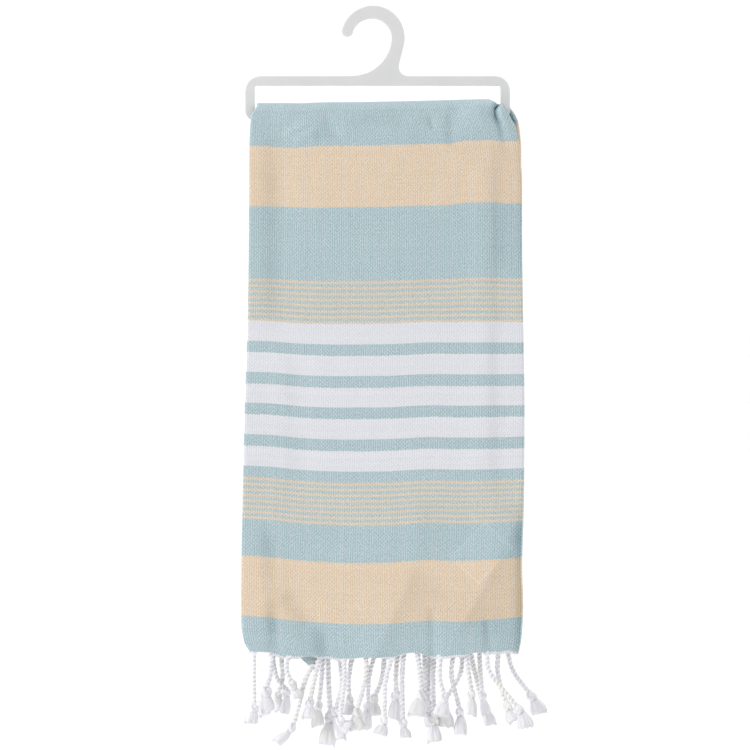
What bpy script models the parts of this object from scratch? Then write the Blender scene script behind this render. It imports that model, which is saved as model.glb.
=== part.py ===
"""Kitchen towel, folded in three lengthwise and hung over the lower bar of a flat plastic hanger.

Metres, +Z up. The origin is the top of the inside of the hook, where a rail bears. The towel's
front faces -Y and its right-hand side is +X. Sizes are given in millimetres and scaled by MM.
"""

from collections import namedtuple
from math import atan2, cos, degrees, exp, hypot, pi, radians, sin, sqrt

import bmesh
import bpy
import numpy as np

MM = 0.001
SHARP_FROM = 40.0               # edges sharper than this are shaded as edges, degrees

# ---------------------------------------------------------------------------------------------
# Hanger: one flat moulding, a hook that runs down through a neck into a long low frame.
PLATE = 3.0                     # thickness of the moulding
PLATE_ROUND = 0.7               # rounding of its edges
ROUND_STEPS = 2
ROUND_FROM = 60.0               # edges sharper than this are rounded, degrees
HOOK_INSIDE = 13.0              # inside radius of the hook, whose top is the origin
HOOK_OUTSIDE = 20.9             # outside radius of the hook
HOOK_OUTSIDE_CENTRE = (0.8, -12.4)
TIP_OUTSIDE_ANGLE = 168.8       # where the hook's outside and inside end, from +X
TIP_INSIDE_ANGLE = 156.0
NECK_SWEEP = 26.0               # radius of the neck's long inside curve
NECK_LEAN = 14.0                # how far the neck's outer side leans from upright, degrees
NECK_FILLET = 6.0               # radius where that side runs into the frame
FRAME_LEFT, FRAME_RIGHT = -82.5, 90.3
FRAME_TOP, FRAME_BOTTOM = -37.4, -66.4
SHOULDER_ROUND = 10.0           # upper outside corners
FOOT_ROUND = 6.5                # lower outside corners
ARM_WIDTH = 6.35                # upright arms
TOP_BAR = 6.4                   # height of the upper bar
LOW_BAR = 5.2                   # height of the lower bar, which carries the towel
WINDOW_ROUND = 1.2              # inside corners of the frame

# ---------------------------------------------------------------------------------------------
# Towel. A layer is SHEET thick. From outside to inside the layers are front (from fold to fold),
# second (turned in from the left fold) and third (turned in from the right fold).
SHEET = 1.0
BEND = 7.7                      # outside radius over the bar
CREST = -53.75                  # height of the fold over the bar, at the middle
FRONT_FALL, BACK_FALL = 362.5, 352.0    # crest to hem, at the middle
SECOND_REACH = 0.882            # widths of the second and third layers as shares of the front's
THIRD_REACH = 0.903
ARC_ANGLES = (22.5, 45.0, 67.5, 90.0, 112.5, 135.0, 157.5)      # from the front over to the back
CREASE_END = 90.0               # the last of them that the crease of the tuck crosses

# Columns of the folded sheet, as shares of its width from the left fold. The two selvages lie
# on columns, and one column follows the crease of the tuck at the top right.
CREASE_COLUMN = 0.945
COLUMNS = (0.0, 1.0 - THIRD_REACH, 0.2, 0.36, 0.52, 0.68, 0.79, SECOND_REACH,
           0.915, 0.933, CREASE_COLUMN, 0.965, 1.0)
FOLD_TURNS = (-45.0, 0.0, 45.0)

# One row for each height of the hanging sheet, from a hem up to the bar: how far it is below
# the crest, its left and right edges, how far its outer face is from the middle of the bar,
# and the space between its layers.
Row = namedtuple("Row", "fall left right out gap")
FRONT_ROWS = (
    Row(362.5, -78.5, 95.2, 8.4, 1.10),
    Row(358.0, -81.6, 96.4, 8.3, 1.10),
    Row(348.0, -83.9, 97.9, 8.2, 1.10),
    Row(332.0, -85.0, 98.9, 8.2, 1.10),
    Row(308.0, -84.8, 98.2, 8.2, 1.10),
    Row(262.0, -83.9, 99.2, 8.0, 1.05),
    Row(205.0, -82.6, 99.6, 7.0, 0.55),
    Row(141.0, -80.6, 98.7, 6.6, 0.35),
    Row(90.0, -79.9, 98.0, 6.6, 0.30),
    Row(56.0, -79.8, 98.0, 6.9, 0.30),
    Row(36.0, -79.7, 96.7, 7.2, 0.30),
    Row(26.0, -79.4, 95.2, 7.5, 0.30),
    Row(19.5, -79.1, 93.9, 7.6, 0.30),
    Row(13.5, -78.8, 91.6, BEND, 0.30),
    Row(BEND, -78.0, 88.2, BEND, 0.30),
)
CREST_ROWS = (                  # over the bar, one for each of ARC_ANGLES
    Row(0.0, -76.2, 86.6, BEND, 0.30),
    Row(0.0, -74.6, 84.6, BEND, 0.30),
    Row(0.0, -74.1, 82.1, BEND, 0.30),
    Row(0.0, -74.0, 81.6, BEND, 0.30),
    Row(0.0, -74.1, 82.1, BEND, 0.30),
    Row(0.0, -74.6, 86.8, BEND, 0.30),
    Row(0.0, -76.4, 90.2, BEND, 0.30),
)
BACK_ROWS = (
    Row(BEND, -78.2, 92.4, BEND, 0.30),
    Row(13.5, -78.9, 94.9, BEND, 0.30),
    Row(20.0, -79.2, 96.2, 7.6, 0.30),
    Row(32.0, -79.5, 97.3, 7.3, 0.30),
    Row(56.0, -79.7, 98.0, 6.9, 0.30),
    Row(100.0, -79.6, 97.6, 6.6, 0.30),
    Row(160.0, -80.2, 97.8, 6.7, 0.40),
    Row(225.0, -82.0, 98.4, 7.0, 0.55),
    Row(280.0, -83.2, 97.8, 7.4, 0.75),
    Row(322.0, -83.8, 98.0, 7.9, 0.95),
    Row(342.0, -82.8, 96.6, 8.0, 1.05),
    Row(352.0, -79.0, 94.0, 8.3, 1.10),
)

# How far the weft lines lie below a level line, at places across the sheet: at the crest,
# half way down, and at the hem. The lines sag in the middle and ride up at both edges.
Sag = namedtuple("Sag", "across crest middle hem")
SAGS = (
    Sag(-82.8, 1.1, -0.3, -5.8),
    Sag(-65.9, 1.1, -0.7, -4.2),
    Sag(-46.4, 1.1, 0.2, -2.4),
    Sag(-30.2, 0.5, 0.8, -1.3),
    Sag(-10.7, 0.4, 0.0, 0.2),
    Sag(8.8, 0.0, 0.0, 0.0),
    Sag(38.1, -0.6, 0.1, -2.0),
    Sag(57.6, -1.1, 0.8, -1.8),
    Sag(77.1, -1.2, 0.8, -3.2),
    Sag(97.9, -2.2, 2.6, -5.2),
)

# The tuck at the top right, where the sheet is wider than the frame: the cloth is puffed out
# from the bar, and at the front one crease runs down through the puff beside the arm.
PUFF = 2.6                      # how far the puff stands out
PUFF_FROM, PUFF_FULL = 54.0, 72.0       # across: where the puff starts and is full
PUFF_FALL = 30.0                # how far down it reaches
CREASE_WIDE = 2.6               # half width of the crease

# How far below the crest, the crease's place across and its depth there.
Crease = namedtuple("Crease", "fall across deep")
CREASES = (
    Crease(0.0, 78.4, 0.7),
    Crease(2.3, 80.0, 2.0),
    Crease(7.7, 80.9, 2.4),
    Crease(13.5, 81.8, 2.0),
    Crease(19.5, 82.8, 1.1),
    Crease(26.0, 84.0, 0.5),
    Crease(36.0, 85.5, 0.0),
)

# The lower corner of the third layer has slipped: its selvage swings in towards the middle
# and its hem hangs below the others'.
SLIP_FROM = 312.0
SLIP_SWING = 19.0
SLIP_DROOP = 4.6
SLIP_REACH = 13.0

# Where an inner layer ends, the outer ones sink back a little, over these shares of the width.
SINK = 0.5
SINK_LEFT = (0.04, 0.16)
SINK_RIGHT = (SECOND_REACH - 0.02, SECOND_REACH + 0.06)

# ---------------------------------------------------------------------------------------------
# Fringe. A woven heading follows each hem, and the warp ends below it are twisted into cords,
# each knotted and flared into a tuft.
FIT_GAP = 0.32                  # between a hem and the heading under it
HEADING = 1.9                   # height of the woven heading
ROOT_DOWN = 1.2                 # where a cord starts, below the top of the heading
FRONT_LAYER, SECOND_LAYER, THIRD_LAYER = 0, 1, 2        # counted from the outside
BEND_SHARE = 0.6                # how much of its way out from the hem a cord has made at its bend

# One row for each cord: its layer, where it leaves the hem, a bend on its way, its knot and the
# end of its tuft (across and height), and how far its knot is from the middle plane.
Cord = namedtuple("Cord", "layer root bend_x bend_z knot_x knot_z end_x end_z out")
FRONT_CORDS = (
    Cord(FRONT_LAYER, -76.4, -76.4, -430.0, -76.3, -448.0, -78.3, -458.4, 9.4),
    Cord(FRONT_LAYER, -53.6, -55.3, -422.5, -51.6, -433.4, -47.1, -441.5, 9.6),
    Cord(FRONT_LAYER, -18.1, -17.7, -430.5, -20.1, -456.4, -14.0, -461.5, 9.6),
    Cord(FRONT_LAYER, 13.4, 8.8, -433.0, 8.2, -456.2, 5.3, -465.5, 9.4),
    Cord(FRONT_LAYER, 44.7, 44.3, -429.3, 47.0, -441.5, 44.9, -453.8, 9.6),
    Cord(FRONT_LAYER, 74.9, 77.2, -426.0, 95.3, -448.6, 100.5, -461.0, 9.6),
    Cord(SECOND_LAYER, -64.0, -65.9, -426.0, -68.5, -437.5, -67.2, -450.6, 6.4),
    Cord(SECOND_LAYER, -33.0, -37.1, -429.3, -40.2, -445.4, -40.6, -455.1, 6.4),
    Cord(SECOND_LAYER, -3.6, -4.0, -429.3, -9.5, -451.2, -9.4, -462.9, 6.2),
    Cord(SECOND_LAYER, 29.2, 31.5, -427.0, 32.2, -440.2, 29.0, -453.8, 6.4),
    Cord(SECOND_LAYER, 61.0, 63.0, -426.0, 65.0, -439.5, 65.1, -453.0, 6.4),
    Cord(THIRD_LAYER, -37.5, -43.0, -430.5, -51.7, -461.0, -61.4, -471.4, 3.6),
    Cord(THIRD_LAYER, -12.2, -15.0, -430.5, -14.6, -443.4, -15.0, -453.2, 3.4),
    Cord(THIRD_LAYER, 21.4, 19.9, -428.5, 20.5, -458.1, 22.5, -468.1, 3.4),
    Cord(THIRD_LAYER, 53.7, 52.1, -428.0, 57.5, -451.0, 57.9, -465.9, 3.4),
    Cord(THIRD_LAYER, 82.9, 82.3, -427.0, 88.5, -447.3, 93.7, -457.1, 3.4),
)
BACK_CORDS = (
    Cord(FRONT_LAYER, -67.2, -65.8, -424.5, -71.4, -442.8, -69.8, -455.1, 9.4),
    Cord(FRONT_LAYER, -28.6, -28.2, -431.1, -27.2, -455.8, -29.2, -474.0, 9.6),
    Cord(FRONT_LAYER, 4.7, -1.6, -429.8, -2.5, -448.6, -4.8, -464.2, 9.4),
    Cord(FRONT_LAYER, 38.3, 37.4, -431.1, 36.5, -451.2, 40.0, -461.6, 9.6),
    Cord(FRONT_LAYER, 62.5, 68.0, -428.5, 73.8, -449.0, 78.1, -461.0, 9.4),
    Cord(FRONT_LAYER, 87.4, 92.0, -424.5, 104.4, -442.1, 110.2, -453.8, 9.4),
    Cord(SECOND_LAYER, -60.8, -58.1, -429.1, -61.7, -442.1, -58.8, -451.0, 6.2),
    Cord(SECOND_LAYER, -30.8, -33.0, -433.6, -34.8, -448.6, -35.4, -461.6, 6.2),
    Cord(SECOND_LAYER, 18.7, 16.0, -425.6, 16.0, -441.5, 14.7, -457.1, 6.4),
    Cord(SECOND_LAYER, 34.2, 34.8, -428.5, 35.1, -441.2, 34.8, -451.9, 5.6),
    Cord(SECOND_LAYER, 59.0, 58.2, -426.5, 47.8, -446.7, 49.1, -462.3, 6.4),
    Cord(THIRD_LAYER, -65.9, -62.7, -427.5, -55.5, -438.9, -56.8, -453.0, 3.4),
    Cord(THIRD_LAYER, -23.1, -19.2, -432.4, -23.1, -451.7, -19.8, -470.1, 3.4),
    Cord(THIRD_LAYER, 9.2, 6.9, -429.3, 2.0, -443.4, 2.3, -454.5, 3.4),
    Cord(THIRD_LAYER, 41.5, 40.0, -431.1, 40.7, -457.1, 41.1, -471.7, 3.4),
    Cord(THIRD_LAYER, 70.0, 71.0, -426.0, 72.5, -441.4, 75.1, -453.5, 3.4),
)

# Sections of a cord: its place on the route (0 root, 1 bend, 2 knot, 3 end of the tuft) and
# its half widths across the sheet and through it.
Section = namedtuple("Section", "place across through")
CORD_SECTIONS = (
    Section(0.0, 1.6, 0.34),
    Section(0.16, 1.6, 0.55),
    Section(0.45, 1.4, 1.2),
    Section(1.0, 1.4, 1.4),
    Section(1.74, 1.4, 1.4),
    Section(1.95, 2.6, 2.4),
    Section(2.12, 2.5, 2.3),
    Section(2.30, 1.9, 1.7),
    Section(3.0, 3.3, 2.2),
)
CORD_SIDES = 6
ROUTE_STEP = 0.05               # how far to look along a route for its direction

# ---------------------------------------------------------------------------------------------
# Care label: plain, set at an angle between the front layer and the second.
LABEL_CENTRE = (71.2, -347.2)
LABEL_SIZE = (26.0, 32.0)
LABEL_TURN = 44.0
LABEL_THICK = 0.3
LABEL_SPACE = 0.4               # between the front layer and the label
LABEL_CELLS = 4


def remove_everything():
    """Empty the scene."""
    for item in list(bpy.data.objects):
        bpy.data.objects.remove(item, do_unlink=True)


def make_material(name, colour, roughness, metallic=0.0):
    """A Principled material with one colour and roughness."""
    material = bpy.data.materials.new(name)
    material.use_nodes = True
    shader = material.node_tree.nodes["Principled BSDF"]
    shader.inputs["Base Color"].default_value = (*colour, 1.0)
    shader.inputs["Roughness"].default_value = roughness
    shader.inputs["Metallic"].default_value = metallic
    return material


def add_object(name, mesh, material):
    """Put a mesh into the scene as a named object with its material, smooth where it is round."""
    mesh.materials.append(material)
    mesh.shade_smooth()
    mesh.set_sharp_from_angle(angle=radians(SHARP_FROM))
    item = bpy.data.objects.new(name, mesh)
    bpy.context.scene.collection.objects.link(item)
    return item


def arc(centre, radius, start, end, steps):
    """Points in X and Z on an arc between two angles, in degrees from +X towards +Z."""
    angles = [radians(start + (end - start) * i / steps) for i in range(steps + 1)]
    return [(centre[0] + radius * cos(a), centre[1] + radius * sin(a)) for a in angles]


def neck_fillet_centre():
    """Centre of the fillet that is tangent to the neck's leaning side and to the frame's top."""
    lean = radians(NECK_LEAN)
    start_x = HOOK_OUTSIDE_CENTRE[0] + HOOK_OUTSIDE * cos(lean)
    start_z = HOOK_OUTSIDE_CENTRE[1] - HOOK_OUTSIDE * sin(lean)
    end_z = FRAME_TOP + NECK_FILLET * (1.0 + sin(lean))
    end_x = start_x - (start_z - end_z) * sin(lean) / cos(lean)
    return end_x + NECK_FILLET * cos(lean), FRAME_TOP + NECK_FILLET


def neck_sweep_centre():
    """Centre of the neck's inside curve, tangent to the hook's inside and to the frame's top."""
    drop = -FRAME_TOP - HOOK_INSIDE
    offset = sqrt((NECK_SWEEP - HOOK_INSIDE) ** 2 - (NECK_SWEEP - drop) ** 2)
    return -offset, FRAME_TOP + NECK_SWEEP


def hanger_outline():
    """The hanger's outside, from the hook's tip clockwise round the frame and back."""
    sweep = neck_sweep_centre()
    meet = degrees(atan2(-HOOK_INSIDE - sweep[1], -sweep[0]))
    left, right = FRAME_LEFT, FRAME_RIGHT
    top, bottom = FRAME_TOP, FRAME_BOTTOM
    points = arc(HOOK_OUTSIDE_CENTRE, HOOK_OUTSIDE, TIP_OUTSIDE_ANGLE, -NECK_LEAN, 22)
    points += arc(neck_fillet_centre(), NECK_FILLET, 180.0 - NECK_LEAN, 270.0, 7)
    points += arc((right - SHOULDER_ROUND, top - SHOULDER_ROUND), SHOULDER_ROUND, 90.0, 0.0, 7)
    points += arc((right - FOOT_ROUND, bottom + FOOT_ROUND), FOOT_ROUND, 0.0, -90.0, 6)
    points += arc((left + FOOT_ROUND, bottom + FOOT_ROUND), FOOT_ROUND, -90.0, -180.0, 6)
    points += arc((left + SHOULDER_ROUND, top - SHOULDER_ROUND), SHOULDER_ROUND, 180.0, 90.0, 7)
    points += arc(sweep, NECK_SWEEP, -90.0, meet, 10)
    inside = arc((0.0, -HOOK_INSIDE), HOOK_INSIDE, meet, TIP_INSIDE_ANGLE, 18)
    points += inside[1:]
    first, last = points[0], points[-1]
    tip_radius = hypot(first[0] - last[0], first[1] - last[1]) / 2.0
    tip_centre = ((first[0] + last[0]) / 2.0, (first[1] + last[1]) / 2.0)
    heading = degrees(atan2(last[1] - first[1], last[0] - first[0]))
    points += arc(tip_centre, tip_radius, heading, heading - 180.0, 8)[1:-1]
    return points


def window_outline():
    """The opening in the hanger's frame, a long rectangle with small rounded corners."""
    left, right = FRAME_LEFT + ARM_WIDTH + WINDOW_ROUND, FRAME_RIGHT - ARM_WIDTH - WINDOW_ROUND
    top, bottom = FRAME_TOP - TOP_BAR - WINDOW_ROUND, FRAME_BOTTOM + LOW_BAR + WINDOW_ROUND
    points = arc((right, top), WINDOW_ROUND, 0.0, 90.0, 3)
    points += arc((left, top), WINDOW_ROUND, 90.0, 180.0, 3)
    points += arc((left, bottom), WINDOW_ROUND, 180.0, 270.0, 3)
    points += arc((right, bottom), WINDOW_ROUND, 270.0, 360.0, 3)
    return points


def build_hanger(material):
    """The hook and frame: the outline and its window, filled, extruded and rounded."""
    shape = bmesh.new()
    edges = []
    for outline in (hanger_outline(), window_outline()):
        ring = [shape.verts.new((x * MM, -PLATE / 2 * MM, z * MM)) for x, z in outline]
        edges += [shape.edges.new((ring[i - 1], ring[i])) for i in range(len(ring))]
    filled = bmesh.ops.triangle_fill(shape, use_beauty=True, use_dissolve=False, edges=edges)
    faces = [f for f in filled["geom"] if isinstance(f, bmesh.types.BMFace)]
    extruded = bmesh.ops.extrude_face_region(shape, geom=faces, use_keep_orig=True)
    moved = [v for v in extruded["geom"] if isinstance(v, bmesh.types.BMVert)]
    bmesh.ops.translate(shape, verts=moved, vec=(0.0, PLATE * MM, 0.0))
    bmesh.ops.recalc_face_normals(shape, faces=shape.faces)
    mesh = bpy.data.meshes.new("hanger")
    shape.to_mesh(mesh)
    shape.free()
    item = add_object("hanger", mesh, material)
    rounding = item.modifiers.new("edge rounding", "BEVEL")
    rounding.width = PLATE_ROUND * MM
    rounding.segments = ROUND_STEPS
    rounding.limit_method = "ANGLE"
    rounding.angle_limit = radians(ROUND_FROM)
    return item


def smooth_step(value, low, high):
    """0 below low, 1 above high, and a smooth climb between them."""
    share = np.clip((np.asarray(value, float) - low) / (high - low), 0.0, 1.0)
    return share * share * (3.0 - 2.0 * share)


def sag_at(across, share):
    """How far a weft line lies below level, at a place across and a share of the fall."""
    places = [s.across for s in SAGS]
    crest = np.interp(across, places, [s.crest for s in SAGS])
    middle = np.interp(across, places, [s.middle for s in SAGS])
    hem = np.interp(across, places, [s.hem for s in SAGS])
    return crest * (1.0 - share) + middle * np.sin(pi * share) + hem * share


def tuck_puff(across, fall):
    """How far the gathered cloth at the top right stands out from the bar."""
    fade = 1.0 - smooth_step(fall, BEND, PUFF_FALL)
    return PUFF * fade * smooth_step(across, PUFF_FROM, PUFF_FULL)


def crease_place(fall):
    """Where the crease of the tuck lies across, at a distance below the crest."""
    return np.interp(fall, [c.fall for c in CREASES], [c.across for c in CREASES])


def tuck_crease(across, fall):
    """How deep the crease in the gathered cloth is: a trough along a slanting line."""
    deep = np.interp(fall, [c.fall for c in CREASES], [c.deep for c in CREASES])
    return deep * np.exp(-((across - crease_place(fall)) / CREASE_WIDE) ** 2)


def layer_sink(share):
    """How far the sheet sinks back beyond the selvages that lie inside it, by share of width."""
    return SINK * (1.0 - smooth_step(share, *SINK_LEFT) + smooth_step(share, *SINK_RIGHT))


def fold_section(row, fall, slip):
    """The folded sheet's mid line at one row: across, depth below the outer face, slip weight.

    It runs from the second layer's selvage to the left fold, along the front layer to the
    right fold, and back along the third layer to its selvage.
    """
    pitch = SHEET + row.gap
    width = row.right - row.left
    outer = SHEET / 2.0
    left_turn, right_turn = pitch / 2.0, pitch
    left_stop = row.left + SHEET / 2.0 + left_turn
    right_stop = row.right - SHEET / 2.0 - right_turn
    selvages = [row.left + width * share for share in (1.0 - THIRD_REACH, SECOND_REACH)]
    shares = np.array(COLUMNS)
    places = np.interp(shares, (0.0, 1.0 - THIRD_REACH, SECOND_REACH, CREASE_COLUMN, 1.0),
                       (left_stop, *selvages, crease_place(fall), right_stop))

    second = shares <= SECOND_REACH
    third = shares >= 1.0 - THIRD_REACH - 1e-9
    swing = np.clip((0.5 - shares) / (THIRD_REACH - 0.5), 0.0, 1.0)
    turns = np.radians(FOLD_TURNS)
    across = np.concatenate((
        places[second][::-1],
        left_stop - left_turn * np.cos(turns),
        places,
        right_stop + right_turn * np.cos(turns),
        (places + SLIP_SWING * slip * swing)[third][::-1]))
    depth = np.concatenate((
        np.full(second.sum(), outer + pitch),
        outer + left_turn - left_turn * np.sin(turns),
        np.full(len(places), outer),
        outer + right_turn + right_turn * np.sin(turns),
        np.full(third.sum(), outer + 2.0 * pitch)))
    droop = np.concatenate((
        np.zeros(second.sum() + 2 * len(turns) + len(places)),
        np.ones(third.sum())))
    return across, depth, droop


def section_sides(across, depth):
    """The two faces of the sheet: its mid line moved half a thickness each way."""
    run = np.gradient(across)
    rise = np.gradient(depth)
    length = np.hypot(run, rise)
    step_x = -rise / length * SHEET / 2.0
    step_d = run / length * SHEET / 2.0
    return (across + step_x, depth + step_d), (across - step_x, depth - step_d)


def hanging_point(across, depth, row, front, lower=0.0):
    """A point of the hanging sheet from its place across and its depth below the outer face."""
    total = FRONT_FALL if front else BACK_FALL
    share = (across - row.left) / (row.right - row.left)
    out = row.out - depth - layer_sink(share) + tuck_puff(across, row.fall)
    height = CREST - row.fall - sag_at(across, row.fall / total) - lower
    if front:
        return across, tuck_crease(across, row.fall) - out, height
    return across, out, height


def crest_fall(angle):
    """How far the sheet's outer face is below the crest, at an angle over the bar."""
    return BEND * (1.0 - sin(radians(angle)))


def crest_point(across, depth, row, angle):
    """A point of the sheet where it turns over the bar, from the front (0) to the back (180)."""
    turn = radians(angle)
    share = (across - row.left) / (row.right - row.left)
    radius = BEND - depth
    if angle <= CREASE_END:
        radius = radius - tuck_crease(across, crest_fall(angle))
    sink = layer_sink(share) * abs(cos(turn))
    out = (radius - sink + tuck_puff(across, 0.0)) * cos(turn)
    height = CREST - BEND - sag_at(across, BEND / FRONT_FALL) + radius * sin(turn)
    return across, -out, height


def slip_of(row, front):
    """How far the third layer has slipped at a row: nothing until low down at the front."""
    return float(smooth_step(row.fall, SLIP_FROM, FRONT_FALL)) if front else 0.0


def section_loop(row, fall, place, slip=0.0):
    """One closed loop round the sheet's section, each point put in space by place."""
    across, depth, third = fold_section(row, fall, slip)
    selvage = across[-1]
    loop = []
    for side, turned in zip(section_sides(across, depth), (False, True)):
        droop = SLIP_DROOP * slip * third * np.exp(-((side[0] - selvage) / SLIP_REACH) ** 2)
        points = np.stack(np.broadcast_arrays(*place(side[0], side[1], droop)), axis=1)
        loop.append(points[::-1] if turned else points)
    return np.concatenate(loop)


def hanging_loop(row, front, lower=0.0):
    """The section's loop on the hanging part of the sheet, lowered if asked."""
    def place(across, depth, droop):
        return hanging_point(across, depth, row, front, lower + droop)
    return section_loop(row, row.fall, place, slip_of(row, front))


def crest_loop(row, angle):
    """The section's loop where the sheet turns over the bar."""
    def place(across, depth, droop):
        return crest_point(across, depth, row, angle)
    return section_loop(row, crest_fall(angle), place)


def skin_loops(name, loops):
    """A closed mesh through a run of equal loops, its two ends closed across the sheet."""
    count = len(loops[0])
    half = count // 2
    points = np.concatenate(loops) * MM
    faces = []
    for r in range(len(loops) - 1):
        for i in range(count):
            j = (i + 1) % count
            faces.append((r * count + i, r * count + j, (r + 1) * count + j, (r + 1) * count + i))
    last = (len(loops) - 1) * count
    for i in range(half - 1):
        other = count - 1 - i
        faces.append((i + 1, i, other, other - 1))
        faces.append((last + i, last + i + 1, last + other - 1, last + other))
    mesh = bpy.data.meshes.new(name)
    mesh.from_pydata(points.tolist(), [], faces)
    mesh.validate()
    shape = bmesh.new()
    shape.from_mesh(mesh)
    bmesh.ops.recalc_face_normals(shape, faces=shape.faces)
    shape.to_mesh(mesh)
    shape.free()
    return mesh


def build_towel(material):
    """The sheet: its folded section carried from the front hem over the bar to the back hem."""
    loops = [hanging_loop(row, True) for row in FRONT_ROWS]
    loops += [crest_loop(row, angle) for row, angle in zip(CREST_ROWS, ARC_ANGLES)]
    loops += [hanging_loop(row, False) for row in BACK_ROWS]
    return add_object("towel", skin_loops("towel", loops), material)


def hem_row(front):
    """The sheet's lowest row at the front or the back."""
    return FRONT_ROWS[0] if front else BACK_ROWS[-1]


def cord_route(cord, front):
    """The four points of a cord's route: root in the heading, bend, knot and end of the tuft."""
    row = hem_row(front)
    depth = SHEET / 2.0 + cord.layer * (SHEET + row.gap)
    slip = slip_of(row, front)
    selvage = fold_section(row, row.fall, slip)[0][-1]
    lower = FIT_GAP + ROOT_DOWN
    if cord.layer == THIRD_LAYER:
        lower += SLIP_DROOP * slip * exp(-((cord.root - selvage) / SLIP_REACH) ** 2)
    root = np.array(hanging_point(cord.root, depth, row, front, lower), dtype=float)
    side = -1.0 if front else 1.0
    knot_y = side * cord.out
    bend_y = root[1] + BEND_SHARE * (knot_y - root[1])
    bend = (cord.bend_x, bend_y, cord.bend_z)
    knot = (cord.knot_x, knot_y, cord.knot_z)
    end = (cord.end_x, knot_y, cord.end_z)
    return np.array([root, bend, knot, end])


def route_point(route, place):
    """A point on the smooth curve through a route's points, place counted in points."""
    first = 2.0 * route[0] - route[1]
    last = 2.0 * route[-1] - route[-2]
    points = np.vstack((first, route, last))
    span = min(int(place), len(route) - 2)
    t = place - span
    a, b, c, d = points[span:span + 4]
    curve = 2.0 * b + (c - a) * t + (2.0 * a - 5.0 * b + 4.0 * c - d) * t * t
    return (curve + (3.0 * b - a - 3.0 * c + d) * t ** 3) / 2.0


def cord_tube(shape, cord, front):
    """One cord as a tube of a few sections: flat in the heading, round, knotted and flared."""
    route = cord_route(cord, front)
    rings = []
    for section in CORD_SECTIONS:
        centre = route_point(route, section.place)
        ahead = route_point(route, min(section.place + ROUTE_STEP, len(route) - 1))
        behind = route_point(route, max(section.place - ROUTE_STEP, 0.0))
        along = (ahead - behind) / np.linalg.norm(ahead - behind)
        if section is CORD_SECTIONS[0]:
            along = np.array([0.0, 0.0, -1.0])
        wide = np.cross(along, (0.0, 1.0, 0.0))
        wide /= np.linalg.norm(wide)
        thick = np.cross(wide, along)
        ring = []
        for i in range(CORD_SIDES):
            turn = 2.0 * pi * i / CORD_SIDES
            offset = wide * section.across * cos(turn) + thick * section.through * sin(turn)
            ring.append(shape.verts.new(((centre + offset) * MM).tolist()))
        rings.append(ring)
    for lower, upper in zip(rings, rings[1:]):
        for i in range(CORD_SIDES):
            shape.faces.new((lower[i - 1], lower[i], upper[i], upper[i - 1]))
    shape.faces.new(rings[0])
    shape.faces.new(rings[-1][::-1])


def build_fringe(name, cords, front, material):
    """The heading under a hem and its cords, joined into one comb."""
    row = hem_row(front)
    loops = [hanging_loop(row, front, FIT_GAP), hanging_loop(row, front, FIT_GAP + HEADING)]
    item = add_object(name, skin_loops(name, loops), material)

    shape = bmesh.new()
    for cord in cords:
        cord_tube(shape, cord, front)
    bmesh.ops.recalc_face_normals(shape, faces=shape.faces)
    mesh = bpy.data.meshes.new(name + " cords")
    shape.to_mesh(mesh)
    shape.free()
    cords_item = add_object(name + "_cords", mesh, material)
    cords_item.hide_render = True
    cords_item.display_type = "WIRE"

    union = item.modifiers.new("cords", "BOOLEAN")
    union.operation = "UNION"
    union.object = cords_item
    union.use_self = True
    return item


def front_row_at(fall):
    """The front's row at any fall, between the rows of the table."""
    rows = FRONT_ROWS[::-1]
    falls = [r.fall for r in rows]
    values = [np.interp(fall, falls, [r[i] for r in rows]) for i in range(1, len(Row._fields))]
    return Row(fall, *values)


def label_point(u, v, depth):
    """A point of the label from its own width and height, under the front layer."""
    turn = radians(LABEL_TURN)
    x = LABEL_CENTRE[0] + u * cos(turn) - v * sin(turn)
    z = LABEL_CENTRE[1] + u * sin(turn) + v * cos(turn)
    row = front_row_at(CREST - z)
    y = hanging_point(x, SHEET + depth, row, True)[1]
    return x * MM, float(y) * MM, z * MM


def build_label(material):
    """The care label: a small thin rectangle that follows the inside of the front layer."""
    cells = LABEL_CELLS
    us = [LABEL_SIZE[0] * (i / cells - 0.5) for i in range(cells + 1)]
    vs = [LABEL_SIZE[1] * (i / cells - 0.5) for i in range(cells + 1)]
    shape = bmesh.new()
    layers = []
    for depth in (LABEL_SPACE, LABEL_SPACE + LABEL_THICK):
        layers.append([[shape.verts.new(label_point(u, v, depth)) for v in vs] for u in us])
    near, far = layers
    for i in range(cells):
        for j in range(cells):
            shape.faces.new((near[i][j], near[i + 1][j], near[i + 1][j + 1], near[i][j + 1]))
            shape.faces.new((far[i][j], far[i][j + 1], far[i + 1][j + 1], far[i + 1][j]))
    for i in range(cells):
        shape.faces.new((near[i][0], far[i][0], far[i + 1][0], near[i + 1][0]))
        shape.faces.new((near[i + 1][cells], far[i + 1][cells], far[i][cells], near[i][cells]))
        shape.faces.new((near[0][i + 1], far[0][i + 1], far[0][i], near[0][i]))
        shape.faces.new((near[cells][i], far[cells][i], far[cells][i + 1], near[cells][i + 1]))
    bmesh.ops.recalc_face_normals(shape, faces=shape.faces)
    mesh = bpy.data.meshes.new("care_label")
    shape.to_mesh(mesh)
    shape.free()
    return add_object("care_label", mesh, material)


def main():
    """Build the hanger, the towel, its two fringes and its label."""
    remove_everything()
    plastic = make_material("milky plastic", (0.66, 0.66, 0.66), 0.38)
    cotton = make_material("striped cotton", (0.47, 0.61, 0.64), 0.92)
    cord = make_material("white cotton cord", (0.77, 0.77, 0.81), 0.90)
    tape = make_material("white label tape", (0.82, 0.82, 0.84), 0.70)
    build_hanger(plastic)
    build_towel(cotton)
    build_fringe("fringe_front", FRONT_CORDS, True, cord)
    build_fringe("fringe_back", BACK_CORDS, False, cord)
    build_label(tape)


main()
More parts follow.
